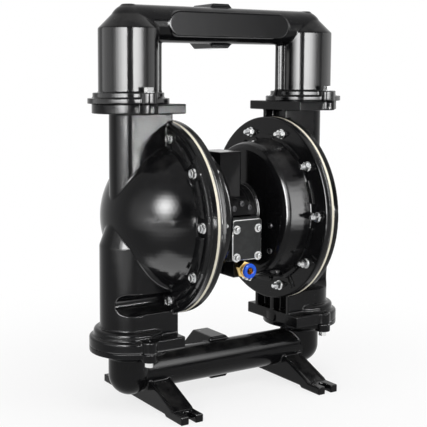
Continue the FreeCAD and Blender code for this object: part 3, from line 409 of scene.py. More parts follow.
class Wiring:
    """Adds nodes to a tree and links them."""

    def __init__(self, tree):
        self.tree = tree

    def add(self, kind, settings=None, **inputs):
        item = self.tree.nodes.new(kind)
        for key, value in (settings or {}).items():
            setattr(item, key, value)
        for key, value in inputs.items():
            self.feed(item.inputs[key.replace("_", " ")], value)
        return item

    def feed(self, socket, value):
        if isinstance(value, bpy.types.NodeSocket):
            self.tree.links.new(value, socket)
        else:
            socket.default_value = value

    def math(self, operation, first, second, clamp=False):
        item = self.add("ShaderNodeMath", {"operation": operation, "use_clamp": clamp})
        self.feed(item.inputs[0], first)
        self.feed(item.inputs[1], second)
        return item.outputs[0]

    def vector_math(self, operation, first, second):
        item = self.add("ShaderNodeVectorMath", {"operation": operation})
        self.feed(item.inputs[0], first)
        self.feed(item.inputs[1], second)
        return item.outputs

    def product(self, first, second, amount):
        return self.math("MULTIPLY", self.math("MULTIPLY", first, second), amount, clamp=True)

    def spread(self, value, low, high, to_low=0.0, to_high=1.0, kind="SMOOTHSTEP"):
        item = self.add("ShaderNodeMapRange", {"interpolation_type": kind})
        for label, entry in (("Value", value), ("From Min", low), ("From Max", high),
                             ("To Min", to_low), ("To Max", to_high)):
            self.feed(item.inputs[label], entry)
        return item.outputs["Result"]

    def mix(self, factor, first, second):
        item = self.add("ShaderNodeMix", {"data_type": "RGBA"})
        self.feed(item.inputs[0], factor)
        self.feed(item.inputs[6], first)
        self.feed(item.inputs[7], second)
        return item.outputs[2]

    def place(self):
        return self.add("ShaderNodeTexCoord").outputs["Object"]

    def noise(self, place, scale, detail=3.0, rough=0.55):
        item = self.add("ShaderNodeTexNoise", Vector=place, Scale=scale, Detail=detail, Roughness=rough)
        return item.outputs["Fac"]

    def surface(self, shader):
        self.feed(self.tree.nodes["Material Output"].inputs["Surface"], shader.outputs[0])


def node_group(name, inputs, outputs):
    """A shader node group with named sockets: its wiring, what it is given and what it puts out."""
    group = bpy.data.node_groups.new(name, "ShaderNodeTree")
    for label, value in inputs.items():
        kind = "NodeSocketVector" if isinstance(value, tuple) else "NodeSocketFloat"
        group.interface.new_socket(label, in_out="INPUT", socket_type=kind).default_value = value
    for label in outputs:
        group.interface.new_socket(label, in_out="OUTPUT", socket_type="NodeSocketFloat")
    wire = Wiring(group)
    return wire, wire.add("NodeGroupInput").outputs, wire.add("NodeGroupOutput").inputs


def cast_skin_group():
    """The skin of a painted casting: fine orange peel over the soft waves of the mould."""
    wire, given, out = node_group("cast_skin", {"Peel Scale": 520.0, "Wave Scale": 45.0, "Peel Share": 0.35},
                                  ("Height", "Mottle"))
    place = wire.place()
    peel = wire.noise(place, given["Peel Scale"], 2.0)
    wave = wire.noise(place, given["Wave Scale"])
    wire.feed(out["Height"], wire.math("ADD", wire.math("MULTIPLY", peel, given["Peel Share"]), wave))
    wire.feed(out["Mottle"], wire.noise(place, 14.0, 4.0, 0.6))


def edge_wear_group():
    """A mask of the sharpest edges, broken up as handling wears them."""
    wire, given, out = node_group("edge_wear", {"Amount": 0.5, "Breakup Scale": 90.0}, ("Mask",))
    edge = wire.spread(wire.add("ShaderNodeNewGeometry").outputs["Pointiness"], 0.52, 0.60)
    breakup = wire.spread(wire.noise(wire.place(), given["Breakup Scale"], 5.0, 0.65), 0.42, 0.62)
    wire.feed(out["Mask"], wire.product(edge, breakup, given["Amount"]))


def dust_group():
    """A mask of the thin dust that settles on faces that look up."""
    wire, given, out = node_group("settled_dust", {"Amount": 0.2, "Patch Scale": 30.0}, ("Mask",))
    normal = wire.add("ShaderNodeSeparateXYZ", Vector=wire.add("ShaderNodeNewGeometry").outputs["Normal"])
    level = wire.spread(normal.outputs["Z"], 0.35, 0.95)
    patches = wire.spread(wire.noise(wire.place(), given["Patch Scale"], 5.0, 0.6), 0.35, 0.7)
    wire.feed(out["Mask"], wire.product(level, patches, given["Amount"]))


def fine_grain_group():
    """Fine grain for moulded, sintered, ground and plated surfaces."""
    wire, given, out = node_group("fine_grain", {"Scale": 900.0, "Stretch": (1, 1, 1)}, ("Height", "Patches"))
    place = wire.place()
    stretched = wire.vector_math("MULTIPLY", place, given["Stretch"])["Vector"]
    wire.feed(out["Height"], wire.noise(stretched, given["Scale"], 3.0, 0.6))
    wire.feed(out["Patches"], wire.noise(place, 60.0, 4.0, 0.6))


def shader_of(name, **constants):
    """A new material's wiring and its Principled node, with its constant sockets set."""
    material = bpy.data.materials.new(name)
    material.use_nodes = True
    shader = material.node_tree.nodes["Principled BSDF"]
    for key, value in constants.items():
        shader.inputs[key.replace("_", " ")].default_value = value
    return Wiring(material.node_tree), shader


def grouped(wire, group, **values):
    item = wire.add("ShaderNodeGroup", {"node_tree": bpy.data.node_groups[group]})
    for key, value in values.items():
        wire.feed(item.inputs[key.replace("_", " ")], value)
    return item.outputs


def bump(wire, shader, height, distance):
    item = wire.add("ShaderNodeBump", Strength=1.0, Distance=distance, Height=height)
    wire.feed(shader.inputs["Normal"], item.outputs["Normal"])


def painted(name, colour, worn, gloss, specular, peel=0.35, depth=0.00012, dust=0.12):
    """Paint over cast metal: orange peel, slight wear on edges, thin dust on top."""
    wire, shader = shader_of(name, Specular_IOR_Level=specular)
    skin = grouped(wire, "cast_skin", Peel_Share=peel)
    edges = grouped(wire, "edge_wear", Amount=0.35)
    settled = grouped(wire, "settled_dust", Amount=dust)
    lighter = [value * 1.6 + 0.001 for value in colour]
    dust_colour = (0.16, 0.155, 0.15, 1)
    paint = wire.mix(wire.spread(skin["Mottle"], 0.3, 0.7, 0.0, 0.35), (*colour, 1), (*lighter, 1))
    with_wear = wire.mix(edges["Mask"], paint, (*worn, 1))
    wire.feed(shader.inputs["Base Color"], wire.mix(settled["Mask"], with_wear, dust_colour))
    rough = wire.spread(skin["Mottle"], 0.25, 0.75, gloss * 0.85, gloss * 1.2)
    dull = wire.math("MULTIPLY", settled["Mask"], 0.5)
    wire.feed(shader.inputs["Roughness"], wire.math("ADD", rough, dull))
    bump(wire, shader, skin["Height"], depth)


def metal(name, colour, tint, rough, stretch=(1, 1, 1), wear=0.0, worn=(0.9, 0.9, 0.9)):
    """Bare or plated metal with fine grain and slight patches of tone."""
    wire, shader = shader_of(name, Metallic=1.0)
    grain = grouped(wire, "fine_grain", Scale=900.0, Stretch=stretch)
    edges = grouped(wire, "edge_wear", Amount=wear)
    plated = wire.mix(wire.spread(grain["Patches"], 0.3, 0.7), (*colour, 1), (*tint, 1))
    wire.feed(shader.inputs["Base Color"], wire.mix(edges["Mask"], plated, (*worn, 1)))
    wire.feed(shader.inputs["Roughness"], wire.spread(grain["Patches"], 0.3, 0.7, rough * 0.8, rough * 1.25))
    bump(wire, shader, grain["Height"], 0.00002)


def moulded(name, colour, tint, rough, specular, scale=700.0, depth=0.00004, dust=0.0):
    """Plastic or rubber with a fine moulded grain."""
    wire, shader = shader_of(name, Specular_IOR_Level=specular)
    grain = grouped(wire, "fine_grain", Scale=scale)
    settled = grouped(wire, "settled_dust", Amount=dust)
    dust_colour = (0.2, 0.19, 0.18, 1)
    body = wire.mix(wire.spread(grain["Patches"], 0.3, 0.7), (*colour, 1), (*tint, 1))
    wire.feed(shader.inputs["Base Color"], wire.mix(settled["Mask"], body, dust_colour))
    wire.feed(shader.inputs["Roughness"], wire.spread(grain["Patches"], 0.3, 0.7, rough * 0.85, rough * 1.15))
    bump(wire, shader, grain["Height"], depth)


def stock(name):
    return bpy.data.materials[name]


# Sizes and colours that a user would change

class PumpFinish(bpy.types.PropertyGroup):
    paint: FloatVectorProperty(name="Casting paint", description="Colour of the gloss paint on the castings",
                               default=(0.0045, 0.0045, 0.005), subtype="COLOR", min=0, max=1)
    paint_gloss: FloatProperty(name="Paint roughness", description="Roughness of the paint, low is glossy",
                               default=0.13, min=0.02, max=1)
    valve_paint: FloatVectorProperty(name="Valve paint", description="Colour of the valve and its cover",
                                     default=(0.02, 0.021, 0.021), subtype="COLOR", min=0, max=1)
    zinc: FloatVectorProperty(name="Zinc plate", description="Colour of the plated fasteners",
                              default=(0.80, 0.80, 0.79), subtype="COLOR", min=0, max=1)
    film: FloatVectorProperty(name="Diaphragm film", description="Colour of the diaphragms, balls and seats",
                              default=(0.80, 0.75, 0.62), subtype="COLOR", min=0, max=1)
    collar: FloatVectorProperty(name="Release collar", description="Colour of the push-in fitting's collar",
                                default=(0.004, 0.09, 0.75), subtype="COLOR", min=0, max=1)


class PumpSizes(bpy.types.PropertyGroup):
    mould_grid: FloatProperty(name="Casting grid", description="Grid on which the castings are rounded",
                              default=1.3 * MM, unit="LENGTH", min=0.4 * MM)
    mould_passes: IntProperty(name="Rounding", description="How often the grid is smoothed",
                              default=3, min=0, max=20)
    head_across: FloatProperty(name="Bolt head", description="Width of heads and nuts across their flats",
                               default=13 * MM, unit="LENGTH")
    shank: FloatProperty(name="Bolt shank", description="Radius of the flange bolts",
                         default=4 * MM, unit="LENGTH")
    pitch: FloatProperty(name="Thread pitch", description="Pitch of the flange bolts' thread",
                         default=1.25 * MM, unit="LENGTH")
    pipe_pitch: FloatProperty(name="Port thread pitch", description="Pitch of the ports' pipe thread",
                              default=2.3 * MM, unit="LENGTH")


class PumpStage(bpy.types.PropertyGroup):
    camera_azimuth: FloatProperty(name="Camera azimuth", description="Side from which the pump is seen",
                                  default=math.radians(-30.27), subtype="ANGLE")
    camera_pitch: FloatProperty(name="Camera pitch", description="How far the camera looks down",
                                default=math.radians(6.20), subtype="ANGLE")
    camera_roll: FloatProperty(name="Camera roll", description="Tilt of the camera",
                               default=math.radians(-0.13), subtype="ANGLE")
    camera_place: FloatVectorProperty(name="Camera place", description="Where the camera stands",
                                      default=(-0.9409, -1.3342, 0.5495), subtype="TRANSLATION",
                                      unit="LENGTH")
    focal_length: FloatProperty(name="Focal length", description="Focal length in mm on a 36 mm sensor",
                                default=78.65)
    shift: FloatVectorProperty(name="Lens shift", description="Shift of the lens as a share of the width",
                               default=(0.172, -0.0785), size=2)
    floor: FloatVectorProperty(name="Floor", description="Colour of the floor",
                               default=(0.86, 0.86, 0.86), subtype="COLOR", min=0, max=1)


# Operators, one for each piece or group of like pieces

class PUMP_OT_finishes(bpy.types.Operator):
    """Make the paints, metals and plastics"""

    bl_idname = "pump.finishes"
    bl_label = "Finishes"

    def execute(self, context):
        finish = context.scene.pump_finish
        for build in (cast_skin_group, edge_wear_group, dust_group, fine_grain_group):
            build()
        painted("gloss_casting_paint", finish.paint, (0.05, 0.05, 0.05), finish.paint_gloss, 0.13)
        painted("satin_valve_paint", finish.valve_paint, (0.06, 0.06, 0.06), 0.36, 0.25, peel=0.5,
                depth=0.00005, dust=0.03)
        metal("bright_zinc", finish.zinc, (0.70, 0.71, 0.72), 0.26, wear=0.4, worn=(0.92, 0.92, 0.92))
        metal("black_oxide", (0.13, 0.13, 0.135), (0.09, 0.09, 0.095), 0.3)
        metal("bare_edge", (0.85, 0.85, 0.84), (0.72, 0.72, 0.72), 0.3)
        metal("ground_steel", (0.60, 0.61, 0.63), (0.50, 0.51, 0.53), 0.28, stretch=(0.1, 1, 1))
        metal("turned_brass", (0.83, 0.62, 0.26), (0.72, 0.50, 0.19), 0.2, wear=0.5, worn=(0.95, 0.80, 0.45))
        metal("bearing_bronze", (0.66, 0.43, 0.20), (0.55, 0.34, 0.15), 0.35)
        moulded("cream_film", finish.film, (0.72, 0.67, 0.53), 0.38, 0.5)
        moulded("backing_rubber", (0.018, 0.018, 0.018), (0.028, 0.027, 0.026), 0.65, 0.4)
        moulded("gasket_sheet", (0.03, 0.03, 0.031), (0.05, 0.05, 0.05), 0.75, 0.35, scale=1600.0)
        moulded("collar_plastic", finish.collar, (0.006, 0.12, 0.82), 0.25, 0.3)
        moulded("muffler_plastic", (0.02, 0.02, 0.021), (0.035, 0.035, 0.036), 0.6, 0.4, scale=1400.0,
                depth=0.0002, dust=0.2)
        return {"FINISHED"}


class PUMP_OT_frame_finishes(bpy.types.Operator):
    """Give the frame's nodes their finishes"""

    bl_idname = "pump.frame_finishes"
    bl_label = "Frame finishes"

    finishes = {
        "black_casting": "gloss_casting_paint",
        "fastener": "bright_zinc",
        "steel": "ground_steel",
        "ptfe": "cream_film",
        "backup_rubber": "backing_rubber",
        "gasket": "gasket_sheet",
        "bush": "bearing_bronze",
        "valve": "satin_valve_paint",
        "brass": "turned_brass",
        "blue_plastic": "collar_plastic",
        "muffler": "muffler_plastic",
    }

    def execute(self, context):
        slots = {part["node"]: part["material_slot"] for part in frame["record"]["subparts"]}
        for name, node in frame["nodes"].items():
            for place in node.material_slots:
                place.material = stock(self.finishes[slots[name]])
        return {"FINISHED"}


class PUMP_OT_castings(bpy.types.Operator):
    """Round the edges of the castings, and add the chambers' steps and ribs"""

    bl_idname = "pump.castings"
    bl_label = "Castings"

    slot = "black_casting"
    most_faces = 190000
    # inner and outer radius, both ends along the axis, half the width of the notches
    steps = {"fluid_cap": (120 * MM, 147 * MM, -133 * MM, -129 * MM, 15 * MM),
             "air_cap": (122 * MM, 134 * MM, -101.5 * MM, -97.2 * MM, 21 * MM)}
    notch_reach, step_edge = 9 * MM, 0.6 * MM
    # degrees from straight up, inner end and outer end of each pair of ribs
    rib_pairs = ((57.5, 150 * MM, 160 * MM), (87.5, 150 * MM, 160 * MM), (118.5, 148 * MM, 160 * MM),
                 (148.8, 131 * MM, 155 * MM))
    rib_low, rib_high = -102 * MM, -98.6 * MM
    rib_half, rib_apart = 1 * MM, 1.5
    more_passes = {"fluid_cap": 0, "air_cap": 4}
    # node, and its grid as a share of the castings' grid
    single_castings = (("discharge_manifold", 1), ("suction_manifold", 1), ("centre_body", 0.8),
                       ("pilot_cover", 0.35))

    def cast(self, node, grid, passes):
        piece = soften(copy_of(node, f"{node}_casting"), grid, passes)
        triangles = 2 * len(piece.data.polygons)
        if triangles > self.most_faces:
            apply_modifier(piece, "DECIMATE", ratio=self.most_faces / triangles)
        return smooth(piece, CAST_ANGLE)

    def step(self, inner, outer, low, high, half_notch):
        """A raised ring at a drum's foot, with a square notch at each chamber bolt."""
        ring = turned("step", [(outer, low), (outer, high)], 2 * ROUND_SIDES)
        boolean(ring, turned("core", [(inner, low - MM), (inner, high + MM)], 2 * ROUND_SIDES), "DIFFERENCE")
        notch = block("notch", (-half_notch, inner - self.notch_reach, low - MM),
                      (half_notch, outer + self.notch_reach, high + MM))
        turn = math.tau / CHAMBER_BOLTS
        places = [placing(Vector(), UP, turn * (index + 0.5)) for index in range(CHAMBER_BOLTS)]
        boolean(ring, set_out(notch, "notches", places), "DIFFERENCE")
        apply_modifier(ring, "BEVEL", width=self.step_edge, segments=2, limit_method="ANGLE",
                       angle_limit=math.radians(40))
        ring.data.transform(ALONG_AXIS)
        return smooth(ring, CAST_ANGLE)

    def ribs(self):
        """Pairs of small ribs beside four nuts on the front and four on the rear."""
        pairs = []
        for angle, start, end in self.rib_pairs:
            for side in (-1, 1):
                for offset in (-self.rib_apart, self.rib_apart):
                    rib = block("rib", (-self.rib_half, start, self.rib_low),
                                (self.rib_half, end, self.rib_high), self.rib_half / 2)
                    turn = Matrix.Rotation(side * math.radians(angle + offset), 4, "Z")
                    rib.data.transform(ALONG_AXIS @ turn)
                    pairs.append(smooth(rib))
        return pairs

    def execute(self, context):
        sizes = context.scene.pump_sizes
        grid = sizes.mould_grid * 1
        passes = sizes.mould_passes
        paint = stock("gloss_casting_paint")
        for kind, step in self.steps.items():
            left = self.cast(f"left_{kind}", grid, passes + self.more_passes[kind])
            details = [self.step(*step)] + (self.ribs() if kind == "air_cap" else [])
            left = joined(left.name, [left] + details)
            right = mirrored(left, f"right_{kind}_casting")
            fit(left, paint, self.slot, f"left_{kind}")
            fit(right, paint, self.slot, f"right_{kind}")
        for node, share in self.single_castings:
            fit(self.cast(node, grid * share, passes), paint, self.slot, node)
        return {"FINISHED"}


class PUMP_OT_chamber_bolts(bpy.types.Operator):
    """Model the flange bolts and nuts that clamp the chambers"""

    bl_idname = "pump.chamber_bolts"
    bl_label = "Chamber bolts"

    def execute(self, context):
        sizes = context.scene.pump_sizes
        for side, outward in zip(SIDES, (-1, 1)):
            bolts, nuts = f"{side}_chamber_bolts", f"{side}_chamber_nuts"
            places, long = seats(bolts, (outward, 0, 0), 0.7, FLANGE_HEAD)
            fasten(bolts, flange_bolt(sizes, FLANGE_HEAD, long - FLANGE_HEAD), places)
            places, long = seats(nuts, (-outward, 0, 0), 0.45)
            fasten(nuts, hex_nut(sizes, long), places)
        return {"FINISHED"}


class PUMP_OT_joint_bolts(bpy.types.Operator):
    """Model the bolts that hold the manifolds to the columns"""

    bl_idname = "pump.joint_bolts"
    bl_label = "Joint bolts"

    def execute(self, context):
        sizes = context.scene.pump_sizes
        for node, up in (("discharge_bolts", 1), ("suction_bolts", -1)):
            places, long = seats(node, (0, 0, up), 0.6, JOINT_HEAD, first_roll=0.2)
            fasten(node, flange_bolt(sizes, JOINT_HEAD, long - JOINT_HEAD), places)
        return {"FINISHED"}


class PUMP_OT_small_screws(bpy.types.Operator):
    """Model the round screws of the valve, the pilot cover and the air caps"""

    bl_idname = "pump.small_screws"
    bl_label = "Small screws"

    head_radius, shank_radius = 5 * MM, 3 * MM
    # node, axis of the screws, head height, socket radius, washer radius, finish
    kinds = (
        ("valve_screws", FORWARD, 6.5 * MM, 2.9 * MM, 7.5 * MM, "bright_zinc"),
        ("pilot_cover_screws", FORWARD, 3 * MM, 2.3 * MM, 0, "black_oxide"),
        ("left_face_screws", (1, 0, 0), 3 * MM, 2.3 * MM, 0, "black_oxide"),
        ("right_face_screws", (-1, 0, 0), 3 * MM, 2.3 * MM, 0, "black_oxide"),
    )

    def execute(self, context):
        for node, direction, head_tall, socket, collar, finish in self.kinds:
            places, long = seats(node, direction, 0.8, head_tall)
            screw = socket_screw(self.head_radius, head_tall, self.shank_radius, long - head_tall,
                                 socket, collar)
            fasten(node, screw, places, finish)
        return {"FINISHED"}


class PUMP_OT_air_valve(bpy.types.Operator):
    """Model the valve block and its cover plate with a bare machined edge"""

    bl_idname = "pump.air_valve"
    bl_label = "Air valve"

    body_grid, body_passes = 0.7 * MM, 3
    corner_radius = 6 * MM
    chamfer = 1.5 * MM
    hole_radius, hole_reach = 3.4 * MM, 60 * MM
    # how squarely a face has to look along Y to count as the plate's front
    square_on = 0.98

    def execute(self, context):
        body = soften(copy_of("valve_body", "valve_body_block"), self.body_grid, self.body_passes)
        fit(smooth(body, CAST_ANGLE), stock("satin_valve_paint"), "valve", "valve_body")
        low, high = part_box("valve_cover")
        cover = block("valve_cover_plate", low, high)
        self.round_corners(cover)
        apply_modifier(cover, "BEVEL", limit_method="ANGLE", angle_limit=math.radians(60), width=self.chamfer,
                       segments=3)
        coat(cover, stock("satin_valve_paint"), stock("bare_edge"))
        for face in cover.data.polygons:
            rim = face.center.y < low.y + self.chamfer + 0.1 * MM and abs(face.normal.y) < self.square_on
            face.material_index = 1 if rim else 0
        for corner, far_corner in islands("valve_screws"):
            hole = turned("hole", [(self.hole_radius, -self.hole_reach), (self.hole_radius, self.hole_reach)],
                          SMALL_SIDES)
            hole.data.transform(placing((corner + far_corner) / 2, FORWARD))
            boolean(cover, hole, "DIFFERENCE")
        fit(smooth(cover), None, "valve", "valve_cover")
        return {"FINISHED"}

    def round_corners(self, cover):
        """Round the four edges that run from the plate's front to its back."""
        start_edit(cover)
        bpy.ops.mesh.select_mode(type="EDGE")
        bpy.ops.mesh.select_all(action="DESELECT")
        end_edit()
        for edge in cover.data.edges:
            first, second = (cover.data.vertices[index].co for index in edge.vertices)
            edge.select = abs(first.y - second.y) > 1 * MM
        pick(cover)
        bpy.ops.object.mode_set(mode="EDIT")
        bpy.ops.mesh.bevel(offset=self.corner_radius, segments=6)
        bpy.ops.mesh.select_mode(type="VERT")
        end_edit()


class PUMP_OT_air_fitting(bpy.types.Operator):
    """Model the brass push-in fitting and its release collar"""

    bl_idname = "pump.air_fitting"
    bl_label = "Air fitting"

    across, hexagon_long = 26 * MM, 13 * MM
    nose_radius, nose_long = 11.2 * MM, 5 * MM
    stub_radius, stub_pitch = 9 * MM, 1.3 * MM
    mouth_radius, throat_radius = 8.4 * MM, 4 * MM
    tube_radius, collar_thick, sleeve_radius = 6.1 * MM, 6 * MM, 8 * MM
    lining_start = -1.5 * MM

    def execute(self, context):
        self.brass_fitting()
        self.release_collar()
        return {"FINISHED"}

    def brass_fitting(self):
        """A hexagon between a round nose and a threaded stub, with its mouth at Z = 0 and a stepped bore."""
        low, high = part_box("air_inlet_fitting")
        middle = (low + high) / 2
        foot = low.y - high.y
        neck = -self.nose_long
        shoulder = neck - self.hexagon_long
        fitting = chamfered_hexagon("air_inlet_brass", self.across, shoulder, neck, both_ends=True)
        nose = turned("nose", [(self.nose_radius, neck - 1 * MM), (self.nose_radius, -0.8 * MM),
                               (self.nose_radius - 0.8 * MM, 0)])
        boolean(fitting, nose, "UNION")
        stub = turned("stub", [(self.stub_radius, shoulder + 1 * MM)]
                      + threaded_rings(self.stub_radius, self.stub_pitch, foot + 1 * MM, shoulder)
                      + [(self.stub_radius - 1.4 * MM, foot)], SMALL_SIDES)
        boolean(fitting, stub, "UNION")
        bore = turned("bore", [(self.throat_radius, foot - 1 * MM), (self.throat_radius, shoulder + 2.2 * MM),
                               (self.mouth_radius, shoulder + 2.3 * MM), (self.mouth_radius, 1 * MM)])
        boolean(fitting, bore, "DIFFERENCE")
        fitting.data.transform(placing((middle.x, low.y, middle.z), FORWARD, 0.2))
        fit(smooth(face_outwards(fitting)), stock("turned_brass"), "brass", "air_inlet_fitting")

    def release_collar(self):
        """A blue ring in front of a narrower sleeve, with its bore lined in brass."""
        low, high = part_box("release_collar")
        middle = (low + high) / 2
        ring = (high.x - low.x) / 2
        sleeve_end, ring_end = low.y - high.y, -self.collar_thick
        collar = turned("release_collar_ring", [
            (self.sleeve_radius, sleeve_end), (self.sleeve_radius, ring_end), (ring - 1 * MM, ring_end),
            (ring, ring_end + 0.9 * MM), (ring, -2 * MM), (ring - 0.5 * MM, -0.8 * MM),
            (ring - 1.6 * MM, -0.1 * MM), (ring - 2.4 * MM, 0)])
        bore = turned("bore", [(self.tube_radius, sleeve_end - 1 * MM), (self.tube_radius, -1.4 * MM),
                               (self.tube_radius + 1.5 * MM, 0.2 * MM)])
        boolean(collar, bore, "DIFFERENCE")
        coat(collar, stock("collar_plastic"), stock("turned_brass"))
        for face in collar.data.polygons:
            lining = face.center.z < self.lining_start and face.center.xy.length < self.tube_radius + 0.2 * MM
            face.material_index = 1 if lining else 0
        collar.data.transform(placing((middle.x, low.y, middle.z), FORWARD))
        fit(smooth(collar), None, "blue_plastic", "release_collar", body="collar")


class PUMP_OT_diaphragms(bpy.types.Operator):
    """Let each diaphragm's web follow the rod while its rim stays clamped"""

    bl_idname = "pump.diaphragms"
    bl_label = "Diaphragms"

    hub_radius = 76 * MM
    clamp_radius = 119 * MM

    def execute(self, context):
        for side in SIDES:
            for kind, material, slot in (("diaphragm", "cream_film", "ptfe"),
                                         ("backup_diaphragm", "backing_rubber", "backup_rubber")):
                node = f"{side}_{kind}"
                film = smooth(copy_of(node, f"{node}_film"), 35)
                coat(film, stock(material))
                self.flex(film)
                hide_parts(node)
        return {"FINISHED"}

    def flex(self, film):
        """The share of the rod's motion falls from one at the plates to nothing at the clamped rim."""
        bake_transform(film, HOUSING, "rod", start=(0, 0, 0), end=(0.1, 0, 0))
        share = film.data.attributes["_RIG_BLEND"]
        for vert, entry in zip(film.data.vertices, share.data):
            out = math.hypot(vert.co.y, vert.co.z - AXIS_Z)
            way = min(max((self.clamp_radius - out) / (self.clamp_radius - self.hub_radius), 0), 1)
            entry.value = way * way * (3 - 2 * way)


class PUMP_OT_muffler(bpy.types.Operator):
    """Model the ribbed exhaust muffler behind the pump"""

    bl_idname = "pump.muffler"
    bl_label = "Muffler"

    thread_radius, thread_long = 12 * MM, 12 * MM
    collar_long, cap_long = 9 * MM, 6 * MM
    ribs, rib_deep = 9, 1.8 * MM
    mouth_radius, mouth_deep = 9 * MM, 14 * MM

    def execute(self, context):
        low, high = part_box("muffler")
        middle = (low + high) / 2
        radius, long = (high.x - low.x) / 2, high.y - low.y
        ribs_start, ribs_end = self.thread_long + self.collar_long, long - self.cap_long
        rings = [(self.thread_radius - 1 * MM, 0), (self.thread_radius, 0.8 * MM),
                 (self.thread_radius, self.thread_long), (radius - 2 * MM, self.thread_long),
                 (radius, self.thread_long + 2 * MM), (radius, ribs_start)]
        pitch = (ribs_end - ribs_start) / self.ribs
        groove, crest = radius - self.rib_deep, radius - 0.2 * MM
        for index in range(self.ribs):
            base = ribs_start + index * pitch
            rings += [(groove, base + 0.2 * pitch), (groove, base + 0.5 * pitch),
                      (crest, base + 0.65 * pitch), (crest, base + 0.95 * pitch)]
        rings += [(radius - 0.4 * MM, long - 3 * MM), (radius - 2.5 * MM, long - 0.6 * MM),
                  (radius - 5 * MM, long)]
        muffler = turned("exhaust_muffler", rings)
        mouth = turned("mouth", [(self.mouth_radius, long - self.mouth_deep),
                                 (self.mouth_radius, long - 1 * MM),
                                 (self.mouth_radius + 1.5 * MM, long + 0.5 * MM)])
        boolean(muffler, mouth, "DIFFERENCE")
        muffler.data.transform(placing((middle.x, low.y, middle.z), BACKWARD))
        fit(smooth(muffler), stock("muffler_plastic"), "muffler", "muffler")
        return {"FINISHED"}


class PUMP_OT_port_threads(bpy.types.Operator):
    """Model the pipe thread inside the two rear ports"""

    bl_idname = "pump.port_threads"
    bl_label = "Port threads"

    bore = 28.3 * MM
    end_gap = 1.5 * MM
    section_share = 0.9
    steps = 56

    def execute(self, context):
        pitch = context.scene.pump_sizes.pipe_pitch
        for mount in frame["record"]["mounts"]:
            if mount["kind"] == "threaded_hole":
                long = mount["dims"]["length_mm"] * MM
                ridge = self.ridge(f"{mount['name']}_thread", pitch, int((long - 2 * self.end_gap) / pitch))
                start = Vector(mount["pos_m"]) - Vector((0, long / 2 - self.end_gap, 0))
                ridge.data.transform(placing(start, BACKWARD))
                face_outwards(ridge)
                fit(smooth(ridge, 50), stock("gloss_casting_paint"), "black_casting")
        return {"FINISHED"}

    def ridge(self, name, pitch, turns):
        """A three-sided ridge wound round Z, closed at both ends."""
        clear_selection()
        bpy.ops.mesh.primitive_circle_add(vertices=3, radius=0.5 * pitch, fill_type="NGON",
                                          location=(self.bore, 0, 0), rotation=(math.pi / 2, 0, 0))
        ridge = bpy.context.object
        ridge.name = name
        settle(ridge)
        away, back = Matrix.Translation((self.bore, 0, 0)), Matrix.Translation((-self.bore, 0, 0))
        turn = Matrix.Rotation(math.pi / 2, 4, "Y")
        ridge.data.transform(away @ Matrix.Scale(self.section_share, 4) @ turn @ back)
        apply_modifier(ridge, "SCREW", axis="Z", screw_offset=pitch, iterations=turns, steps=self.steps,
                       render_steps=self.steps, angle=math.tau, use_smooth_shade=True)
        start_edit(ridge)
        bpy.ops.mesh.remove_doubles(threshold=MERGE)
        bpy.ops.mesh.fill_holes(sides=4)
        end_edit()
        return ridge


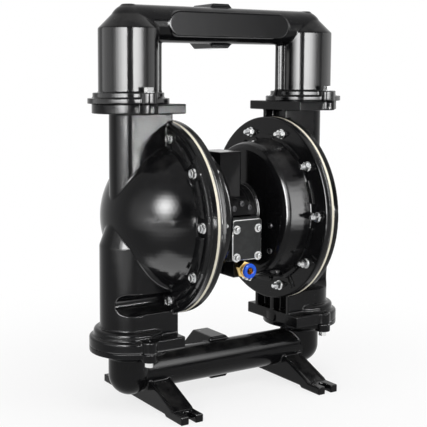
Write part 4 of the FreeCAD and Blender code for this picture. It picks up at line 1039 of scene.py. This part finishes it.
class PUMP_OT_stage(bpy.types.Operator):
    """Set the floor, the sky, the lamps, the reflectors and the camera"""

    bl_idname = "pump.stage"
    bl_label = "Stage"

    target = Vector((0, 0, 0.34))
    dome = Vector((-88 * MM, 0, AXIS_Z))
    floor_size = 40
    # distances between which the floor that is seen turns white, and how white it is near the pump
    white_from, white_at, least_white = 0.2, 0.85, 0.78
    ambient = 0.45
    round_soft = 0.02, 0.5
    glow_gap = 3 * MM

    def execute(self, context):
        stage = context.scene.pump_stage
        context.scene.view_settings.view_transform = "Standard"
        self.floor(stage)
        self.sky(context.scene)
        self.lamps()
        self.reflectors()
        self.camera(context.scene, stage)
        return {"FINISHED"}

    def seen(self, wire):
        """One for rays that show a surface, in a reflection too, and nothing for rays that light one."""
        path = wire.add("ShaderNodeLightPath").outputs
        shown = wire.math("MAXIMUM", path["Is Camera Ray"], path["Is Glossy Ray"])
        return wire.math("MAXIMUM", shown, path["Is Transmission Ray"])

    def floor(self, stage):
        clear_selection()
        bpy.ops.mesh.primitive_plane_add(size=self.floor_size)
        floor = bpy.context.object
        floor.name = "floor"
        wire, shader = shader_of("pale_floor", Roughness=0.8, Specular_IOR_Level=0.1,
                                 Base_Color=(*stage.floor, 1))
        away = wire.vector_math("LENGTH", wire.place(), (0, 0, 0))["Value"]
        whitening = wire.spread(away, self.white_from, self.white_at, self.least_white, 1.0)
        glow = wire.add("ShaderNodeEmission", Color=WHITE, Strength=1.0)
        blend = wire.add("ShaderNodeMixShader")
        wire.feed(blend.inputs[0], wire.math("MULTIPLY", self.seen(wire), whitening))
        wire.feed(blend.inputs[1], shader.outputs[0])
        wire.feed(blend.inputs[2], glow.outputs[0])
        wire.surface(blend)
        coat(floor, stock("pale_floor"))

    def sky(self, scene):
        scene.world = bpy.data.worlds.new("studio")
        scene.world.use_nodes = True
        wire = Wiring(scene.world.node_tree)
        backdrop = wire.tree.nodes["Background"].inputs
        wire.feed(backdrop["Strength"], wire.spread(self.seen(wire), 0, 1, self.ambient, 1.0, "LINEAR"))
        wire.feed(backdrop["Color"], WHITE)

    def direction(self, azimuth, elevation):
        """The way out from the pump, with azimuth 0 at its front."""
        return Vector((math.sin(azimuth) * math.cos(elevation), -math.cos(azimuth) * math.cos(elevation),
                       math.sin(elevation)))

    def lamps(self):
        # name, azimuth, elevation, distance, width, height, power
        for name, azimuth, elevation, away, wide, tall, power in (
                ("overhead_lamp", 20, 78, 2.2, 2.0, 2.0, 26),
                ("left_lamp", -75, 30, 2.4, 1.2, 1.6, 18),
                ("right_lamp", 45, 25, 2.4, 1.2, 1.6, 16)):
            data = bpy.data.lights.new(name, "AREA")
            data.shape, data.size, data.size_y, data.energy = "RECTANGLE", wide, tall, power
            lamp = bpy.data.objects.new(name, data)
            bpy.context.scene.collection.objects.link(lamp)
            away_from = self.direction(math.radians(azimuth), math.radians(elevation))
            lamp.location = self.target + away_from * away
            lamp.rotation_euler = away_from.to_track_quat("Z", "Y").to_euler()
            lamp.visible_glossy = False

    def reflectors(self):
        """Glowing panels and dark screens that only reflections see."""
        pieces = {item.name for item in bpy.data.objects if item.type == "MESH" and not item.hide_render}
        pipes = {"discharge_manifold_casting"}
        low_pipe = {"suction_manifold_casting"}
        caps = {"left_fluid_cap_casting", "right_fluid_cap_casting"}
        drums = {"left_air_cap_casting", "right_air_cap_casting"}
        shaded = {"centre_body_casting", "pilot_cover_casting", "floor"}
        metals = {name for name in pieces if name.endswith(("_bolt_set", "_nut_set", "_screw_set"))
                  or name.startswith(("air_inlet", "valve_body", "valve_cover"))}
        rest = pieces - pipes - caps - drums - shaded - metals
        # name, plan points of both ends, lowest and highest edge, strength,
        # soft share at the start, the end, the lower edge and the upper edge, pieces that reflect it
        # (None is all of them). No strength makes a dark screen.
        for name, start, end, low, high, strength, soft, lit in (
                ("left_strip", (-0.556, -0.556), (-0.9, -0.03), 0.42, 0.95, 68, (0, 0.95, 0.2, 0.3), pipes),
                ("right_strip", (-0.333, -0.684), (0.62, -1.315), 0.42, 0.95, 68, (0, 0.9, 0.2, 0.3), pipes),
                ("left_fill", (-1.1, -0.4), (-0.8, 1.0), 0.1, 1.2, 4, (0.3, 0.2, 0.2, 0.2), pipes),
                ("right_fill", (1.15, -1.35), (1.6, 0.6), 0.1, 1.2, 3, (0.15, 0.7, 0.2, 0.2), pipes),
                ("low_pipe_glow", (-1.3, -1.3), (1.6, -1.3), 0.3, 2.2, 12, (0.2, 0.3, 0.3, 0.3), low_pipe),
                ("front_glow", (0.2, -1.6), (1.4, -1.3), 0.1, 1.1, 6, (0.3, 0.7, 0.2, 0.2), pipes),
                ("left_low_strip", (-1.57, -2.13), (-2.68, -0.2), 0.0, 0.55, 11, (0, 0.5, 0.35, 0.25), caps),
                ("right_low_strip", (-0.54, -2.5), (2.4, -2.75), 0.0, 0.55, 34, (0, 0.3, 0.2, 0.35), caps),
                ("left_softbox", (-1.0, -1.9), (-2.2, -0.3), 0.2, 1.7, 26, (0.1, 0.6, 0.3, 0.3), rest),
                ("right_softbox", (-0.3, -1.8), (0.8, -1.65), 0.2, 1.7, 26, (0.1, 0.6, 0.3, 0.3), rest),
                ("side_softbox", (1.6, -0.3), (1.75, -0.8), 0.1, 1.5, 40, (0.3, 0.3, 0.3, 0.3), rest | drums),
                ("drum_strip", (0.11, -0.62), (0.38, -0.54), 0.0, 0.95, 24, (0.4, 0.5, 0.3, 0.5), drums),
                ("edge_strip", (-0.55, -0.65), (-0.05, -0.9), 0.0, 1.3, 110, (0.3, 0.3, 0.2, 0.3), drums),
                ("left_metal_glow", (-1.1, -2.0), (-2.0, -0.9), 0.2, 1.5, 2.2, (0.2, 0.4, 0.3, 0.3), metals),
                ("right_metal_glow", (-0.2, -1.9), (1.7, -1.4), 0.2, 1.4, 1.7, (0.2, 0.3, 0.3, 0.3), metals),
                ("left_screen", (-4.53, 0.8), (-0.56, -4.57), 0.0, 2.6, 0, (0.15, 0.1, 0.35, 0.3), None),
                ("right_screen", (-0.24, -4.59), (3.52, -2.96), 0.0, 2.6, 0, (0.1, 0.15, 0.35, 0.3), None)):
            first, last = Vector((*start, low)), Vector((*end, low))
            along = last - first
            outward = along.cross(UP)
            place = Matrix.Translation((first + last) / 2 + UP * (high - low) / 2) @ Matrix(
                (along, UP * (high - low), outward.normalized())).transposed().to_4x4()
            self.panel(name, place, self.strip_glow, soft, strength, lit)
        # name, azimuth and elevation in degrees, distance and radius, strength
        for name, azimuth, elevation, away, radius, strength in (
                ("dome_softbox", -50, 19, 1.0, 0.48, 80),
                ("dome_fill", -75, 8, 1.3, 1.2, 5)):
            toward = self.direction(math.radians(azimuth), math.radians(elevation))
            turn = (-toward).to_track_quat("Z", "Y").to_matrix().to_4x4()
            place = Matrix.Translation(self.dome + toward * away) @ turn @ Matrix.Scale(2 * radius, 4)
            self.panel(name, place, self.round_glow, self.round_soft, strength, caps)
        # name, middle and size on the floor, strength, soft share of every edge
        for name, middle, size, strength, soft in (
                ("near_floor_glow", (-0.2, -0.15), (0.5, 0.36), 7, 0.25),
                ("far_floor_glow", (-1.25, -1.0), (1.8, 1.8), 4, 0.35)):
            place = Matrix.Translation((*middle, self.glow_gap)) @ Matrix.Diagonal((*size, 1, 1))
            self.panel(name, place, self.strip_glow, (soft,) * 4, strength, caps)

    def strip_glow(self, wire, spot, soft):
        """Full in the middle, fading towards both ends and the lower and upper edge."""
        start, end, low, high = soft
        along, up = spot.outputs["X"], spot.outputs["Y"]
        across = wire.math("MULTIPLY", wire.spread(along, 0, max(start, 0.001)),
                           wire.spread(along, 1 - end, 1, 1, 0))
        upright = wire.math("MULTIPLY", wire.spread(up, 0, low), wire.spread(up, 1 - high, 1, 1, 0))
        return wire.math("MULTIPLY", across, upright)

    def round_glow(self, wire, spot, soft):
        """Brightest in the centre, fading evenly between two distances from it."""
        full, gone = soft
        flat = wire.add("ShaderNodeCombineXYZ", X=spot.outputs["X"], Y=spot.outputs["Y"])
        out = wire.vector_math("DISTANCE", flat.outputs[0], (0.5, 0.5, 0))["Value"]
        near = wire.spread(out, full, gone, 1, 0)
        return wire.math("MULTIPLY", near, near)

    def panel(self, name, place, glow, soft, strength, lit):
        """A see-through plane that adds its glow, or darkens what is behind it where it has no strength."""
        clear_selection()
        bpy.ops.mesh.primitive_plane_add(size=1)
        panel = bpy.context.object
        panel.name = name
        panel.data.transform(place)
        material = f"{name}_glow"
        wire, plain = shader_of(material)
        wire.tree.nodes.remove(plain)
        spot = wire.add("ShaderNodeSeparateXYZ", Vector=wire.add("ShaderNodeUVMap").outputs["UV"])
        share = glow(wire, spot, soft)
        shine = wire.add("ShaderNodeEmission", Color=WHITE, Strength=wire.math("MULTIPLY", share, strength))
        clear = wire.add("ShaderNodeBsdfTransparent")
        if not strength:
            wire.feed(clear.inputs["Color"], wire.math("SUBTRACT", 1, share))
        both = wire.add("ShaderNodeAddShader")
        wire.feed(both.inputs[0], shine.outputs[0])
        wire.feed(both.inputs[1], clear.outputs[0])
        wire.surface(both)
        coat(panel, stock(material))
        for ray in ("camera", "diffuse", "shadow", "transmission"):
            setattr(panel, f"visible_{ray}", False)
        if lit:
            receivers = bpy.data.collections.new(name + "_lit")
            for piece in sorted(lit):
                receivers.objects.link(bpy.data.objects[piece])
            panel.light_linking.receiver_collection = receivers

    def camera(self, scene, stage):
        azimuth, roll = stage.camera_azimuth, stage.camera_roll
        back = self.direction(azimuth, stage.camera_pitch)
        right = Vector((math.cos(azimuth), math.sin(azimuth), 0))
        upward = back.cross(right)
        tilted_right = right * math.cos(roll) + upward * math.sin(roll)
        tilted_up = upward * math.cos(roll) - right * math.sin(roll)
        data = bpy.data.cameras.new("photo_camera")
        data.sensor_width = 36
        data.lens = stage.focal_length
        data.shift_x, data.shift_y = stage.shift
        camera = bpy.data.objects.new("photo_camera", data)
        scene.collection.objects.link(camera)
        turn = Matrix((tilted_right, tilted_up, back)).transposed().to_4x4()
        camera.matrix_world = Matrix.Translation(stage.camera_place) @ turn
        scene.camera = camera


class PUMP_PT_panel(bpy.types.Panel):
    """Lists the pump's sizes, finishes and pieces in the sidebar"""

    bl_idname = "PUMP_PT_panel"
    bl_label = "Pump"
    bl_space_type = "VIEW_3D"
    bl_region_type = "UI"
    bl_category = "Pump"

    def draw(self, context):
        for group in (context.scene.pump_sizes, context.scene.pump_finish, context.scene.pump_stage):
            box = self.layout.box()
            for name in group.bl_rna.properties.keys():
                if name not in ("rna_type", "name"):
                    box.prop(group, name)
        for operator in OPERATORS:
            self.layout.operator(operator.bl_idname)


GROUPS = (("pump_finish", PumpFinish), ("pump_sizes", PumpSizes), ("pump_stage", PumpStage))
OPERATORS = (PUMP_OT_finishes, PUMP_OT_frame_finishes, PUMP_OT_castings, PUMP_OT_chamber_bolts,
             PUMP_OT_joint_bolts, PUMP_OT_small_screws, PUMP_OT_air_valve, PUMP_OT_air_fitting,
             PUMP_OT_diaphragms, PUMP_OT_muffler, PUMP_OT_port_threads, PUMP_OT_stage)


def register():
    for name, group in GROUPS:
        bpy.utils.register_class(group)
        setattr(bpy.types.Scene, name, PointerProperty(type=group))
    for item in OPERATORS + (PUMP_PT_panel,):
        bpy.utils.register_class(item)


def unregister():
    for item in reversed(OPERATORS + (PUMP_PT_panel,)):
        bpy.utils.unregister_class(item)
    for name, group in reversed(GROUPS):
        delattr(bpy.types.Scene, name)
        bpy.utils.unregister_class(group)


def main():
    register()
    for item in OPERATORS:
        group, name = item.bl_idname.split(".")
        getattr(getattr(bpy.ops, group), name)()


if __name__ == "__main__":
    main()
